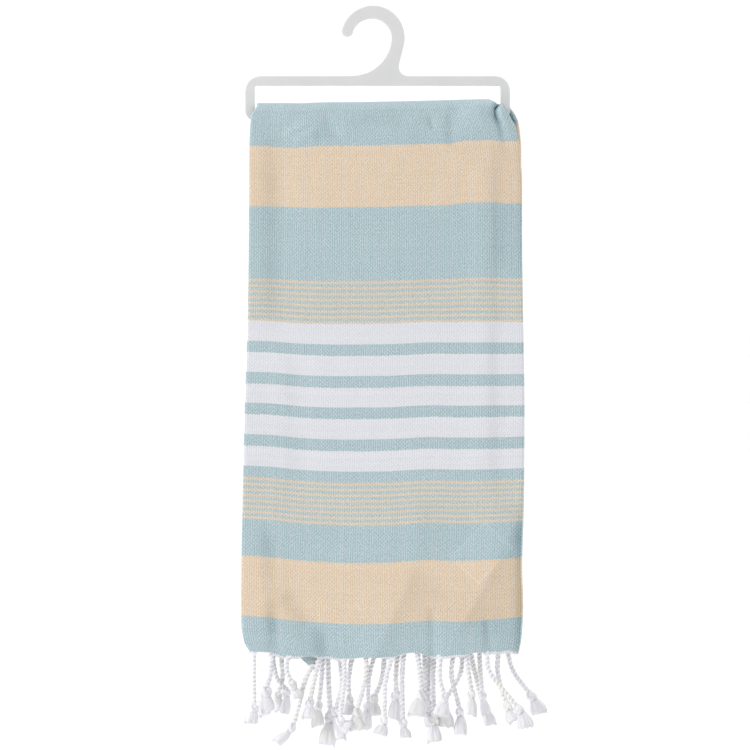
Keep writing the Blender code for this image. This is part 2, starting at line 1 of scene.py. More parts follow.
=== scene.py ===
"""Looks of a kitchen towel that hangs, folded in three, over the lower bar of a flat plastic hanger.

Metres, +Z up. The origin is the top of the inside of the hook. The towel's front faces -Y. The sizes
below are in millimetres, as the part's own are, and MM turns them into metres.
"""

from __future__ import annotations

import logging
import math
from dataclasses import dataclass
from enum import Enum
from typing import NamedTuple, Sequence

import bpy
import numpy as np
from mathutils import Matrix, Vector

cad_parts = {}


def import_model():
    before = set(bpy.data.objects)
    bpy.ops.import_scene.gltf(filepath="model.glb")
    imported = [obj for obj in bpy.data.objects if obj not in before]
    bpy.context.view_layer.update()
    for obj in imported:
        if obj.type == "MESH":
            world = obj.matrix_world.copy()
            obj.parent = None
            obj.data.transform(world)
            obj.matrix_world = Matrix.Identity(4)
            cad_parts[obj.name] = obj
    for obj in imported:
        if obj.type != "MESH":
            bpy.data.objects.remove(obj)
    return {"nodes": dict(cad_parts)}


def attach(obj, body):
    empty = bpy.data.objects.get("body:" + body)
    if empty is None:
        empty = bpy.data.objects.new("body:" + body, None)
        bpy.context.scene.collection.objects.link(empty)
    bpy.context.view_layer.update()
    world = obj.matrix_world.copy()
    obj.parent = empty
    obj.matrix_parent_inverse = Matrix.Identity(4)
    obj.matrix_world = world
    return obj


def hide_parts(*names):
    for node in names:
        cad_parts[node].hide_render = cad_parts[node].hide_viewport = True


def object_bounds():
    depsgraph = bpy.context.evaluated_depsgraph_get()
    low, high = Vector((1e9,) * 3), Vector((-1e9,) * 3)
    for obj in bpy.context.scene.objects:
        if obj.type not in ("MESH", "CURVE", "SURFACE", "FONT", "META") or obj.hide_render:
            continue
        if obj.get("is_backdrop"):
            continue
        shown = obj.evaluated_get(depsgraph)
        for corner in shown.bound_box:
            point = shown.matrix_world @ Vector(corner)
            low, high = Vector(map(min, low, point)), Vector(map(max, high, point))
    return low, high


MM = 0.001
TURN = 2.0 * math.pi
BODY = "root"

Array = np.ndarray
Item = bpy.types.Object
Material = bpy.types.Material
Pair = tuple[float, float]
Triple = tuple[float, float, float]

log = logging.getLogger("towel")


# ---- Helpers for curves and meshes ----


def smooth_step(value: Array | float, low: float, high: float) -> Array:
    """A climb from 0 at low to 1 at high: 3 t squared less 2 t cubed, t being the clipped share."""
    share = np.clip((np.asarray(value, float) - low) / (high - low), 0.0, 1.0)
    return share * share * (3.0 - 2.0 * share)


def fade(value: Array | float, low: float, high: float) -> Array:
    """A smooth fall from 1 at low to 0 at high."""
    return 1.0 - smooth_step(value, low, high)


def bell(value: Array, wide: Array | float) -> Array:
    """A bell round nothing: e to the power of minus the square of the value over its width."""
    return np.exp(-(value / wide) ** 2)


def smooth_curve(places: Sequence[float], values: Sequence[float], at: Array) -> Array:
    """A smooth curve through points of a table, without overshoot, held level past its ends.

    Each stretch is a cubic whose end slopes are the harmonic mean of the slopes on both sides of
    the point, or nothing where the table turns round.

    Args:
        places: the table's places, rising.
        values: the values there.
        at: the places wanted.

    Returns:
        The curve's values, in the shape of at.
    """
    x = np.asarray(places, float)
    y = np.asarray(values, float)
    steps = np.diff(x)
    rises = np.diff(y) / steps
    product = rises[:-1] * rises[1:]
    total = rises[:-1] + rises[1:]
    inner = np.where(product > 0.0, 2.0 * product / np.where(total == 0.0, 1.0, total), 0.0)
    slopes = np.concatenate(([rises[0]], inner, [rises[-1]]))
    where = np.clip(np.asarray(at, float), x[0], x[-1])
    k = np.clip(np.searchsorted(x, where, side="right") - 1, 0, len(steps) - 1)
    t = (where - x[k]) / steps[k]
    hold = (1.0 + 2.0 * t) * (1.0 - t) ** 2 * y[k] + t * t * (3.0 - 2.0 * t) * y[k + 1]
    lean = t * (1.0 - t) ** 2 * slopes[k] - t * t * (1.0 - t) * slopes[k + 1]
    return hold + lean * steps[k]


class Table:
    """Numbers given at rising places, and read between them as smooth curves."""

    def __init__(self, *rows: tuple[float, ...]) -> None:
        """Keep the rows' first numbers as places, and the others as columns."""
        self.places, *self.columns = np.array(rows).T

    def read(self, at: Array) -> list[Array]:
        """Each column's curve at some places."""
        return [smooth_curve(self.places, column, at) for column in self.columns]


def unit(vectors: Array) -> Array:
    """Vectors along the last axis, each made one long."""
    return vectors / np.maximum(np.linalg.norm(vectors, axis=-1, keepdims=True), 1e-12)


def circle(count: int) -> Array:
    """Angles at equal steps round a circle."""
    return np.linspace(0.0, TURN, count, endpoint=False)


def turned(x: Array, y: Array, angle: Array | float) -> tuple[Array, Array]:
    """Places in a plane, turned round its origin."""
    return x * np.cos(angle) - y * np.sin(angle), x * np.sin(angle) + y * np.cos(angle)


def oval(wide: Array | float, deep: Array | float, angle: Array) -> Array:
    """Places at angles round an oval, with both of their numbers on a new last axis."""
    return np.stack((wide * np.cos(angle), deep * np.sin(angle)), axis=-1)


def distance_run(paths: Array) -> Array:
    """How far each point of several paths is from its path's start, along the path."""
    steps = np.linalg.norm(np.diff(paths, axis=1), axis=-1)
    return np.concatenate((np.zeros((len(paths), 1)), np.cumsum(steps, axis=1)), axis=1)


def new_item(name: str, data: bpy.types.ID) -> Item:
    """A new object that shows some data, linked into the scene.

    Args:
        name: the object's name.
        data: its mesh, camera or light.

    Returns:
        The object.
    """
    item = bpy.data.objects.new(name, data)
    bpy.context.scene.collection.objects.link(item)
    return item


@dataclass
class Patch:
    """Surface ready for a mesh: points, and blocks of faces that have equal numbers of corners.

    Attributes:
        points: the points, in millimetres.
        blocks: for each block, the faces' corner numbers and the corners' UV places.
    """

    points: Array
    blocks: list[tuple[Array, Array]]

    @staticmethod
    def joined(patches: Sequence[Patch]) -> Patch:
        """One patch that holds all of several.

        Args:
            patches: the patches.

        Returns:
            A patch with their points and faces, in order.
        """
        start = 0
        blocks = []
        for patch in patches:
            blocks += [(corners + start, uv) for corners, uv in patch.blocks]
            start += len(patch.points)
        return Patch(np.concatenate([patch.points for patch in patches]), blocks)

    def to_object(self, name: str, material: Material, **marks: Array) -> Item:
        """Make a smooth mesh object of the patch, at the origin.

        Args:
            name: the piece's name.
            material: its material.
            marks: the points' own numbers, which the material reads by their names.

        Returns:
            The new object, linked into the scene.
        """
        mesh = bpy.data.meshes.new(name)
        totals = np.concatenate([np.full(len(c), c.shape[1]) for c, _ in self.blocks])
        corners = np.concatenate([c.ravel() for c, _ in self.blocks])
        uvs = np.concatenate([uv.ravel() for _, uv in self.blocks])
        mesh.vertices.add(len(self.points))
        mesh.vertices.foreach_set("co", (self.points * MM).astype(np.float32).ravel())
        mesh.loops.add(len(corners))
        mesh.loops.foreach_set("vertex_index", corners.astype(np.int32))
        mesh.polygons.add(len(totals))
        mesh.polygons.foreach_set("loop_start", (np.cumsum(totals) - totals).astype(np.int32))
        mesh.update(calc_edges=True)
        mesh.uv_layers.new(name="cloth").data.foreach_set("uv", uvs.astype(np.float32))
        mesh.validate()
        mesh.shade_smooth()
        mesh.materials.append(material)
        for mark, values in marks.items():
            attribute = mesh.attributes.new(mark, "FLOAT", "POINT")
            attribute.data.foreach_set("value", values.astype(np.float32))
        return new_item(name, mesh)


def grid_faces(rows: int, columns: int, wraps: bool = False, closed: bool = False
               ) -> tuple[Array, Array]:
    """Corner numbers of the quads of a grid.

    Args:
        rows: how many rows of points.
        columns: how many points in a row.
        wraps: whether the last point of a row is joined to the first.
        closed: whether the last row is joined to the first.

    Returns:
        The quads' corners in the grid of points, and in a grid of UV places which has one column
        more where the rows wrap.
    """
    down = np.arange(rows if closed else rows - 1)
    right = np.arange(columns if wraps else columns - 1)
    r, c = (a.ravel() for a in np.meshgrid(down, right, indexing="ij"))

    def corners(below: Array, beside: Array, wide: int) -> Array:
        """The quads' corners, from the next row, the next column and the grid's width."""
        here, under = r * wide, below * wide
        return np.stack((here + c, here + beside, under + beside, under + c), axis=1)

    return (corners((r + 1) % rows, (c + 1) % columns, columns),
            corners(np.minimum(r + 1, rows - 1), c + 1, columns + wraps))


def plate_patch(first: Array, second: Array, uv: Array) -> Patch:
    """A thin closed plate between two skins, with quads round their rims.

    Args:
        first: the skin whose quads keep the grid's winding, as rows, columns, 3.
        second: the other skin.
        uv: the places of both, in metres.

    Returns:
        The plate's surface.
    """
    rows, columns = first.shape[:2]
    count = rows * columns
    grid = np.arange(count).reshape(rows, columns)
    rim = np.concatenate((grid[0], grid[1:, -1], grid[-1, -2::-1], grid[-2:0:-1, 0]))
    after = np.roll(rim, -1)
    edge = np.stack((rim + count, after + count, after, rim), axis=1)
    quads, _ = grid_faces(rows, columns)
    faces = np.concatenate((quads, quads[:, ::-1] + count, edge))
    return Patch(np.concatenate((first, second)).reshape(-1, 3),
                 [(faces, uv.reshape(-1, 2)[faces % count])])


def tube_patch(path: Array, side: Array, section: Array, closed: bool = False) -> Patch:
    """Tubes that carry a section along paths, many at once.

    A point is the path's point plus the section's first number times the side direction (made
    square to the path) plus its second number times the direction square to both.

    Args:
        path: the paths, as tubes, rings, 3.
        side: rough side directions, of a shape that fits.
        section: the section at each ring, as tubes, rings, corners, 2.
        closed: whether each path ends where it starts; otherwise its ends are capped.

    Returns:
        The tubes' surface, with UV round the tube from 0 to 1 and along it in metres.
    """
    tubes, rings, sides = section.shape[:3]
    if closed:
        ahead = np.roll(path, -1, axis=1) - np.roll(path, 1, axis=1)
    else:
        ahead = np.gradient(path, axis=1)
    along = unit(ahead)
    across = unit(side - (side * along).sum(-1, keepdims=True) * along)
    through = np.cross(along, across)
    points = (path[:, :, None] + section[..., :1] * across[:, :, None]
              + section[..., 1:] * through[:, :, None])
    run = distance_run(path)[:, :, None] * MM
    uv = np.stack(np.broadcast_arrays(np.linspace(0.0, 1.0, sides + 1), run), axis=-1)
    quads, places = grid_faces(rings, sides, True, closed)
    first = np.arange(tubes)[:, None] * rings * sides
    quads = (quads + first[..., None]).reshape(-1, 4)
    places = uv.reshape(tubes, -1, 2)[:, places].reshape(-1, 4, 2)
    blocks = [(quads[:, ::-1], places[:, ::-1])]
    if not closed:
        start = first + np.arange(sides)
        blocks.append((start, uv[:, 0, :-1]))
        blocks.append((start[:, ::-1] + (rings - 1) * sides, uv[:, -1, -2::-1]))
    return Patch(points.reshape(-1, 3), blocks)


# ---- Helpers for materials ----


class Wire:
    """A node's output, with operators that put Math nodes after it."""

    def __init__(self, graph: Graph, socket: bpy.types.NodeSocket) -> None:
        """Stand for a socket in a graph."""
        self.graph = graph
        self.socket = socket

    def calc(self, operation: str, *others: Value, clamp: bool = False) -> Wire:
        """The result of a Math node for this value and any others."""
        return self.graph.calc(operation, self, *others, clamp=clamp)

    def __add__(self, other: Value) -> Wire:
        """This plus another."""
        return self.calc("ADD", other)

    def __sub__(self, other: Value) -> Wire:
        """This less another."""
        return self.calc("SUBTRACT", other)

    def __rsub__(self, number: float) -> Wire:
        """A number less this."""
        return self.graph.calc("SUBTRACT", number, self)

    def __mul__(self, other: Value) -> Wire:
        """This times another."""
        return self.calc("MULTIPLY", other)

    def __truediv__(self, other: Value) -> Wire:
        """This over another."""
        return self.calc("DIVIDE", other)

    def __abs__(self) -> Wire:
        """This without its sign."""
        return self.calc("ABSOLUTE")


Value = float | Wire
Inputs = dict[int | str, Value | Triple]


class Graph:
    """A node tree with short ways to add its nodes."""

    def __init__(self, tree: bpy.types.NodeTree) -> None:
        """Work on a tree, as it is."""
        self.tree = tree

    def put(self, target: bpy.types.NodeSocket, value: Value | Triple) -> None:
        """Link an output to a socket, or give the socket a fixed value or colour.

        Args:
            target: the socket.
            value: the value, or the output that feeds it.
        """
        if isinstance(value, Wire):
            self.tree.links.new(value.socket, target)
        else:
            target.default_value = (*value, 1.0) if target.type == "RGBA" else value

    def node(self, kind: str, inputs: Inputs, **settings: object) -> bpy.types.Node:
        """Add a node.

        Args:
            kind: the node's type, without the word ShaderNode.
            inputs: what its inputs get, by their names or numbers.
            settings: properties to set on it first.

        Returns:
            The node.
        """
        node = self.tree.nodes.new("ShaderNode" + kind)
        for name, setting in settings.items():
            setattr(node, name, setting)
        for key, value in inputs.items():
            self.put(node.inputs[key], value)
        return node

    def add(self, kind: str, inputs: Inputs, output: int | str = 0, **settings: object) -> Wire:
        """Add a node, and take one of its outputs."""
        return Wire(self, self.node(kind, inputs, **settings).outputs[output])

    def calc(self, operation: str, *values: Value, clamp: bool = False) -> Wire:
        """The result of a Math node, kept between 0 and 1 if it is clamped."""
        return self.add("Math", dict(enumerate(values)), operation=operation, use_clamp=clamp)

    def remap(self, value: Wire, low: float, high: float, first: float = 0.0,
              last: float = 1.0) -> Wire:
        """A value that goes smoothly from first, up to low, to last, from high."""
        numbers = dict(enumerate((value, low, high, first, last)))
        return self.add("MapRange", numbers, interpolation_type="SMOOTHSTEP")

    def mix(self, share: Value, first: Wire | Triple, second: Wire | Triple,
            blend: str = "MIX") -> Wire:
        """The colour that a share of the second colour makes of the first."""
        return self.add("Mix", {0: share, 6: first, 7: second}, 2, data_type="RGBA", blend_type=blend)

    def dimmed(self, colour: Wire | Triple, tone: Wire) -> Wire:
        """A colour times a value."""
        return self.mix(1.0, colour, self.vector(tone, tone, tone), "MULTIPLY")

    def noise(self, vector: Wire, scale: float, detail: float = 2.0, roughness: float = 0.5) -> Wire:
        """The value of a Noise texture, about 0.5 on average."""
        inputs = {"Vector": vector, "Scale": scale, "Detail": detail, "Roughness": roughness}
        return self.add("TexNoise", inputs)

    def vector(self, x: Value, y: Value, z: Value) -> Wire:
        """A vector made of three values."""
        return self.add("CombineXYZ", {0: x, 1: y, 2: z})

    def split(self, vector: Wire) -> list[Wire]:
        """The three values of a vector."""
        return [Wire(self, socket) for socket in self.node("SeparateXYZ", {0: vector}).outputs]

    def bump(self, height: Wire, strength: float, distance: float) -> Wire:
        """A Bump node's normal, where a height of 1 is a distance in metres."""
        return self.add("Bump", {"Strength": strength, "Distance": distance, "Height": height})

    def group(self, tree: bpy.types.NodeTree, vector: Wire, **values: float) -> dict[str, Wire]:
        """Place a node group.

        Args:
            tree: the group.
            vector: what its Vector gets.
            values: its other inputs' values by name, with underscores for spaces.

        Returns:
            The outputs by name.
        """
        inputs = {name.replace("_", " "): value for name, value in values.items()}
        node = self.node("Group", {"Vector": vector, **inputs}, node_tree=tree)
        return {socket.name: Wire(self, socket) for socket in node.outputs}


class Group(Graph):
    """A node group of its own, which reads a vector and some values."""

    def __init__(self, name: str, values: Sequence[str], results: Sequence[str]) -> None:
        """Make the group.

        Args:
            name: its name.
            values: the names of the values that it takes besides its vector.
            results: the names of the values that it gives.
        """
        super().__init__(bpy.data.node_groups.new(name, "ShaderNodeTree"))
        sockets = [("Vector", "INPUT", "Vector")]
        sockets += [(title, "INPUT", "Float") for title in values]
        sockets += [(title, "OUTPUT", "Float") for title in results]
        for title, way, kind in sockets:
            self.tree.interface.new_socket(title, in_out=way, socket_type="NodeSocket" + kind)
        given = self.tree.nodes.new("NodeGroupInput")
        self.given = {socket.name: Wire(self, socket) for socket in given.outputs}
        self.made = self.tree.nodes.new("NodeGroupOutput").inputs


class Look(Graph):
    """A new Principled material and its graph."""

    def __init__(self, name: str, colour: Triple, roughness: float, **inputs: float | Triple) -> None:
        """Make the material.

        Args:
            name: its name.
            colour: its base colour, linear.
            roughness: its roughness.
            inputs: more of its shader's inputs by name, with underscores for spaces.
        """
        self.material = bpy.data.materials.new(name)
        self.material.use_nodes = True
        self.material.diffuse_color = (*colour, 1.0)
        super().__init__(self.material.node_tree)
        self.shader = self.tree.nodes["Principled BSDF"]
        self.feed(Base_Color=colour, Roughness=roughness, **inputs)

    def feed(self, **inputs: Value | Triple) -> None:
        """Set or link the shader's inputs by name, with underscores for spaces."""
        for name, value in inputs.items():
            self.put(self.shader.inputs[name.replace("_", " ")], value)

    def uv(self) -> Wire:
        """The place in the piece's own UV map."""
        return self.add("UVMap", {}, uv_map="cloth")

    def place(self) -> Wire:
        """The place in the object's own space."""
        return self.add("TexCoord", {}, "Object")

    def mark(self, name: str) -> Wire:
        """The points' own number of a name."""
        return self.add("Attribute", {}, "Fac", attribute_name=name)


@dataclass(frozen=True)
class Weave:
    """Distances in a weave, in metres: between pairs of threads and reed lines, and their wander."""

    warp_pitch: float
    weft_pitch: float
    reed_pitch: float
    wander: float


@dataclass
class Effects:
    """The effects that several materials share, each built once as a node group."""

    reed_wander: float = 0.3        # the reed's share of the threads' wander
    reed_depth: float = 0.95
    fray_depth: float = 3.6
    over_reach: float = 1.25
    top_reach: float = 0.2

    def __post_init__(self) -> None:
        """Build both groups."""
        self.threads = self.build_threads()
        self.lint = self.build_lint()

    def woven(self, graph: Graph, vector: Wire, weave: Weave) -> dict[str, Wire]:
        """Place the threads in a graph."""
        return graph.group(self.threads, vector, Warp_Pitch=weave.warp_pitch, Wander=weave.wander,
                           Weft_Pitch=weave.weft_pitch, Reed_Pitch=weave.reed_pitch)

    def build_threads(self) -> bpy.types.NodeTree:
        """Plain-woven threads.

        With the turns of the warp and the weft as angles, the cosines of their difference and of
        their sum are mixed: the result is high where a warp thread lies on top. Noise leans it a
        little to one or the other, as the threads are pulled. In soft patches the crossings are
        plain, and in those between the reed's lines, a cosine across the cloth, take their place.
        The height is the round back of whichever thread is on top. Noise moves everything a
        little, and each thread has its own tone.

        Returns:
            The group, with the vector in metres.
        """
        g = Group("woven threads", ("Warp Pitch", "Weft Pitch", "Reed Pitch", "Wander"),
                  ("Over", "Height", "Warp Tone", "Weft Tone"))
        vector, wander = g.given["Vector"], g.given["Wander"]
        across, along, _ = g.split(vector)
        drift = (g.noise(vector, 70.0, 3.0) - 0.5) * wander
        sway = (g.noise(vector, 55.0, 3.0) - 0.5) * wander
        warp_turns = (across + drift) / g.given["Warp Pitch"]
        weft_turns = (along + sway) / g.given["Weft Pitch"]
        reed_turns = (across + drift * self.reed_wander) / g.given["Reed Pitch"]
        warp_angle, weft_angle = warp_turns * TURN, weft_turns * TURN
        falling = (warp_angle - weft_angle).calc("COSINE")
        rising = (warp_angle + weft_angle).calc("COSINE")
        lean = g.remap(g.noise(vector, 280.0), 0.34, 0.66, 0.25, 0.75)
        diagonal = falling * lean + rising * (1.0 - lean)
        plain = g.remap(g.noise(vector, 150.0, 3.0), 0.36, 0.62, 0.16, 0.84)
        reed = (reed_turns * TURN).calc("COSINE") * (1.05 - plain)
        fray = g.noise(vector, 760.0, 2.0, 0.75) - 0.5
        over = diagonal * plain + reed * self.reed_depth + fray * self.fray_depth
        g.put(g.made["Over"], g.remap(over, -self.over_reach, self.over_reach))
        top = g.remap(diagonal, -self.top_reach, self.top_reach)
        warp_back, weft_back = abs(warp_angle.calc("COSINE")), abs(weft_angle.calc("COSINE"))
        g.put(g.made["Height"], warp_back * top + weft_back * (1.0 - top))
        for turns, name in ((warp_turns, "Warp Tone"), (weft_turns, "Weft Tone")):
            number = (turns * 2.0).calc("FLOOR")
            g.put(g.made[name], g.add("TexWhiteNoise", {"W": number}, noise_dimensions="1D"))
        return g.tree

    @staticmethod
    def build_lint() -> bpy.types.NodeTree:
        """Soft uneven tone of cotton: broad clouds and fine flecks of noise.

        Returns:
            The group, with the vector in metres.
        """
        g = Group("cotton lint", (), ("Clouds", "Flecks"))
        g.put(g.made["Clouds"], g.noise(g.given["Vector"], 28.0, 3.0))
        g.put(g.made["Flecks"], g.noise(g.given["Vector"], 1400.0, 2.0, 0.6))
        return g.tree


# ---- The cloth's shape ----


class Side(Enum):
    """The two hanging halves of the towel."""

    FRONT = -1.0
    BACK = 1.0


BEND = 7.7                      # the outer face's radius over the bar
QUARTER = BEND * math.pi / 2.0
GAP = 0.30                      # between layers that are pressed together

# Lines across the hanging sheet: distance below the crest, left edge, right edge, outer face's
# distance from the bar's middle, and gap between layers. Over the bar: angle from the front over to
# the back, left edge and right edge.
FRONT_ROWS = (
    (362.5, -79.8, 96.4, 8.4, 1.10), (358.0, -82.8, 97.4, 8.3, 1.10), (348.0, -84.6, 98.2, 8.2, 1.10),
    (332.0, -85.0, 98.9, 8.2, 1.10), (308.0, -84.8, 98.2, 8.2, 1.10), (262.0, -83.9, 99.2, 8.0, 1.05),
    (205.0, -82.6, 99.6, 7.0, 0.55), (141.0, -80.6, 98.7, 6.6, 0.35), (90.0, -79.9, 98.0, 6.6, GAP),
    (56.0, -79.8, 98.0, 6.9, GAP), (36.0, -79.7, 96.7, 7.2, GAP), (26.0, -79.4, 95.2, 7.5, GAP),
    (19.5, -79.1, 93.8, 7.6, GAP), (13.5, -78.8, 90.6, BEND, GAP),
)
CREST_ROWS = (
    (0.0, -78.0, 87.7), (22.5, -76.2, 86.2), (45.0, -74.6, 84.0), (67.5, -74.7, 82.1),
    (90.0, -74.5, 81.6), (112.5, -74.1, 82.1), (135.0, -74.6, 86.8), (157.5, -76.4, 90.2),
    (180.0, -78.2, 92.4),
)
BACK_ROWS = (
    (13.5, -78.9, 95.5, BEND, GAP), (20.0, -79.2, 96.9, 7.6, GAP), (32.0, -79.5, 97.8, 7.3, GAP),
    (56.0, -79.7, 98.0, 6.9, GAP), (100.0, -79.6, 97.6, 6.6, GAP), (160.0, -80.2, 97.8, 6.7, 0.40),
    (225.0, -82.0, 98.4, 7.0, 0.55), (280.0, -83.2, 97.8, 7.4, 0.75), (322.0, -83.8, 98.0, 7.9, 0.95),
    (342.0, -82.8, 96.6, 8.0, 1.05), (352.0, -79.0, 94.0, 8.3, 1.10),
)
# All of them by their place along the sheet.
ROWS = Table(
    *((BEND - fall - QUARTER, *rest) for fall, *rest in FRONT_ROWS),
    *((BEND * math.radians(angle - 90.0), *edges, BEND, GAP) for angle, *edges in CREST_ROWS),
    *((fall - BEND + QUARTER, *rest) for fall, *rest in BACK_ROWS))

# How far weft lines lie below level: place across, then at the crest, in the middle and at the hem.
SAGS = Table(
    (-82.8, 1.1, -0.3, -5.8), (-65.9, 1.1, -0.6, -4.2), (-46.4, 1.1, 0.0, -2.0),
    (-30.2, 0.5, 0.45, -0.9), (-10.7, 0.4, 0.0, 0.2), (8.8, 0.0, 0.2, -0.1), (38.1, -0.6, 0.3, -2.2),
    (57.6, -1.2, 0.4, -1.4), (77.1, -1.6, 1.3, -2.8), (97.9, -2.2, 2.6, -5.2))

# The tuck's crease: distance below the crest, place across, and depth.
CREASES = Table(
    (0.0, 83.0, 0.1), (2.3, 82.2, 0.9), (5.0, 80.6, 1.6), (7.7, 79.7, 1.8), (10.5, 79.9, 1.7),
    (13.5, 80.9, 1.4), (17.0, 82.6, 1.0), (23.0, 84.9, 0.5), (36.0, 87.0, 0.0))

# The tuck's narrow cleft: distance below the crest, depth, height of the lobe on its right, and painted
# shade.
PINCHES = Table(
    (0.0, 0.0, 0.0, 0.0), (1.6, 0.8, 0.2, 0.18), (3.6, 2.0, 0.8, 0.40), (5.4, 2.3, 1.2, 0.44),
    (8.0, 1.7, 1.3, 0.20), (12.5, 1.3, 1.3, 0.24), (17.0, 0.8, 1.0, 0.13), (23.0, 0.5, 0.6, 0.07),
    (32.0, 0.1, 0.2, 0.03), (42.0, 0.0, 0.0, 0.0))

# How far the front hem is lifted: place across, and height.
HEM_LIFTS = Table(
    (-80.0, -0.2), (-76.0, -0.8), (-66.0, -0.4), (-53.0, -1.2), (-40.0, 0.1), (-27.0, 0.4),
    (-14.0, 0.1), (-1.0, 0.9), (12.0, 0.8), (25.0, 2.6), (38.0, -0.6), (51.0, 0.4), (64.0, 1.8),
    (77.0, 1.4), (87.0, 1.6), (93.5, -0.6))

# Where the white heading shows under the front layer's hem: from one place across to another.
HEADING_SHOWS = ((-64.0, -46.4), (-34.7, -17.2), (7.5, 15.3), (39.4, 61.5), (73.8, 95.0))

# Slight waves of the cloth: turns across and along, in radians a millimetre, and start.
WAVES = ((0.21, 0.13, 0.4), (0.13, -0.17, 2.1), (0.31, -0.11, 4.4), (0.07, 0.23, 1.3),
         (0.26, 0.29, 5.2), (0.41, -0.25, 3.0))


@dataclass(frozen=True)
class Trough:
    """A soft fold that sinks by deep along a straight line on the cloth's face.

    Its ends are given as across and below the crest.
    """

    start: Pair
    end: Pair
    wide: float
    deep: float

    def shape(self, off: Array) -> Array:
        """Its share of deep, right of its line: a bell, gentler on its right."""
        return bell(off, np.where(off < 0.0, self.wide, 1.4 * self.wide))


@dataclass(frozen=True)
class Step(Trough):
    """A soft step that sinks to the right of its line, and comes back over reach."""

    reach: float = 60.0

    def shape(self, off: Array) -> Array:
        """Half of one plus the hyperbolic tangent of the distance right, times a bell."""
        return 0.5 * (1.0 + np.tanh(off / self.wide)) * bell(np.maximum(off, 0.0), self.reach)


FRONT_FOLDS = (
    Trough((-62.5, 4.0), (-61.5, 162.0), 6.5, 1.3), Trough((-52.0, 150.0), (-46.0, 262.0), 6.0, 0.5),
    Trough((-38.0, 25.0), (-20.0, 20.0), 2.4, 1.1), Trough((-58.0, 23.0), (-38.0, 12.0), 2.0, -1.0),
    Trough((-52.0, 27.0), (-34.0, 17.0), 2.0, -0.9), Trough((-29.5, 2.0), (-28.5, 20.0), 3.0, 0.8),
    Trough((-8.0, 11.0), (27.0, 10.0), 5.0, 1.0), Trough((36.5, 9.0), (40.5, 20.0), 1.8, 1.0),
    Trough((51.0, 3.0), (52.5, 34.0), 3.0, 0.9), Trough((81.0, 20.0), (81.6, 272.0), 5.0, 0.9),
    Step((33.0, 296.0), (4.0, 368.0), 2.2, 0.5, 34.0), Step((96.0, 282.0), (54.0, 356.0), 2.4, 0.9),
    Trough((-67.5, 268.0), (-62.8, 368.0), 4.0, 1.1), Trough((-58.0, 322.0), (-37.0, 344.0), 5.0, 0.9),
    Trough((-32.0, 342.0), (-29.5, 368.0), 2.8, 1.0), Trough((39.0, 328.0), (40.0, 368.0), 2.6, 1.0),
    Trough((74.5, 336.0), (76.5, 368.0), 2.6, 1.2), Trough((98.0, 262.0), (98.0, 368.0), 4.0, 2.2),
)
BACK_FOLDS = (
    Trough((-52.0, 20.0), (-60.0, 150.0), 7.0, 0.9), Step((78.0, 24.0), (79.0, 300.0), 1.8, 0.7, 26.0),
    Trough((10.0, 60.0), (24.0, 260.0), 9.0, 0.6), Trough((-30.0, 200.0), (-48.0, 352.0), 6.0, 0.8),
    Trough((52.0, 290.0), (44.0, 352.0), 6.0, 0.7),
)
# Tone painted on the front layer: steps darker right of the edges of the layers behind it, which show
# through, and troughs of painted shade along its soft folds, or of painted light where their depth is
# negative.
# A step is darker right of its edge by its depth, which fades over its reach; the troughs are painted
# shade or light.
EDGES_AND_PAINTED_SHADE = (
    Step((77.5, 20.0), (78.5, 118.0), 1.0, 0.055, 90.0),
    Trough((-65.5, 4.0), (-65.0, 168.0), 8.5, 0.036), Trough((99.0, 26.0), (99.0, 120.0), 3.0, 0.050),
    Trough((-70.0, 168.0), (-64.0, 302.0), 14.0, 0.026), Trough((66.0, 24.0), (66.0, 300.0), 8.0, -0.022),
    Step((84.0, 262.0), (93.0, 296.0), 1.6, 0.035),
    Step((98.0, 270.0), (54.0, 352.0), 1.2, 0.070, 80.0),
    Trough((-68.0, 334.0), (-64.5, 362.0), 3.6, 0.050), Trough((-38.0, 340.0), (-34.5, 362.0), 3.8, 0.055),
    Trough((-22.0, 360.0), (66.0, 358.0), 12.0, -0.040),
    Step((30.5, 254.0), (31.0, 308.0), 1.6, 0.042, 20.0),
    Step((31.0, 299.0), (-1.0, 367.0), 1.2, 0.072, 42.0),
    Trough((-70.0, 282.0), (-57.0, 332.0), 9.0, 0.055), Trough((-61.0, 320.0), (-36.0, 366.0), 7.0, 0.056),
    Trough((-66.5, 326.0), (-64.5, 352.0), 4.5, 0.055), Trough((98.5, 264.0), (98.5, 368.0), 6.0, 0.045),
)
TROUGH_SHADE = 0.026            # painted shade: how much darker a trough is painted, for each millimetre of its depth


def fall_at(along: Array) -> Array:
    """How far the sheet's outer face is below the crest, at places along it."""
    arched = BEND * (1.0 - np.cos(np.clip(along / BEND, -math.pi / 2.0, math.pi / 2.0)))
    return np.where(np.abs(along) > QUARTER, BEND + np.abs(along) - QUARTER, arched)


@dataclass
class Spots:
    """Points of the sheet, in millimetres.

    Attributes:
        across: their places across.
        depth: their depths below the outer face.
        along: their places along the sheet from the crest, negative on the front half.
    """

    across: Array
    depth: Array | float
    along: Array

    def __post_init__(self) -> None:
        """Work out how far below the crest they are, and whether they are on the front half."""
        self.fall = fall_at(self.along)
        self.front = self.along < 0.0


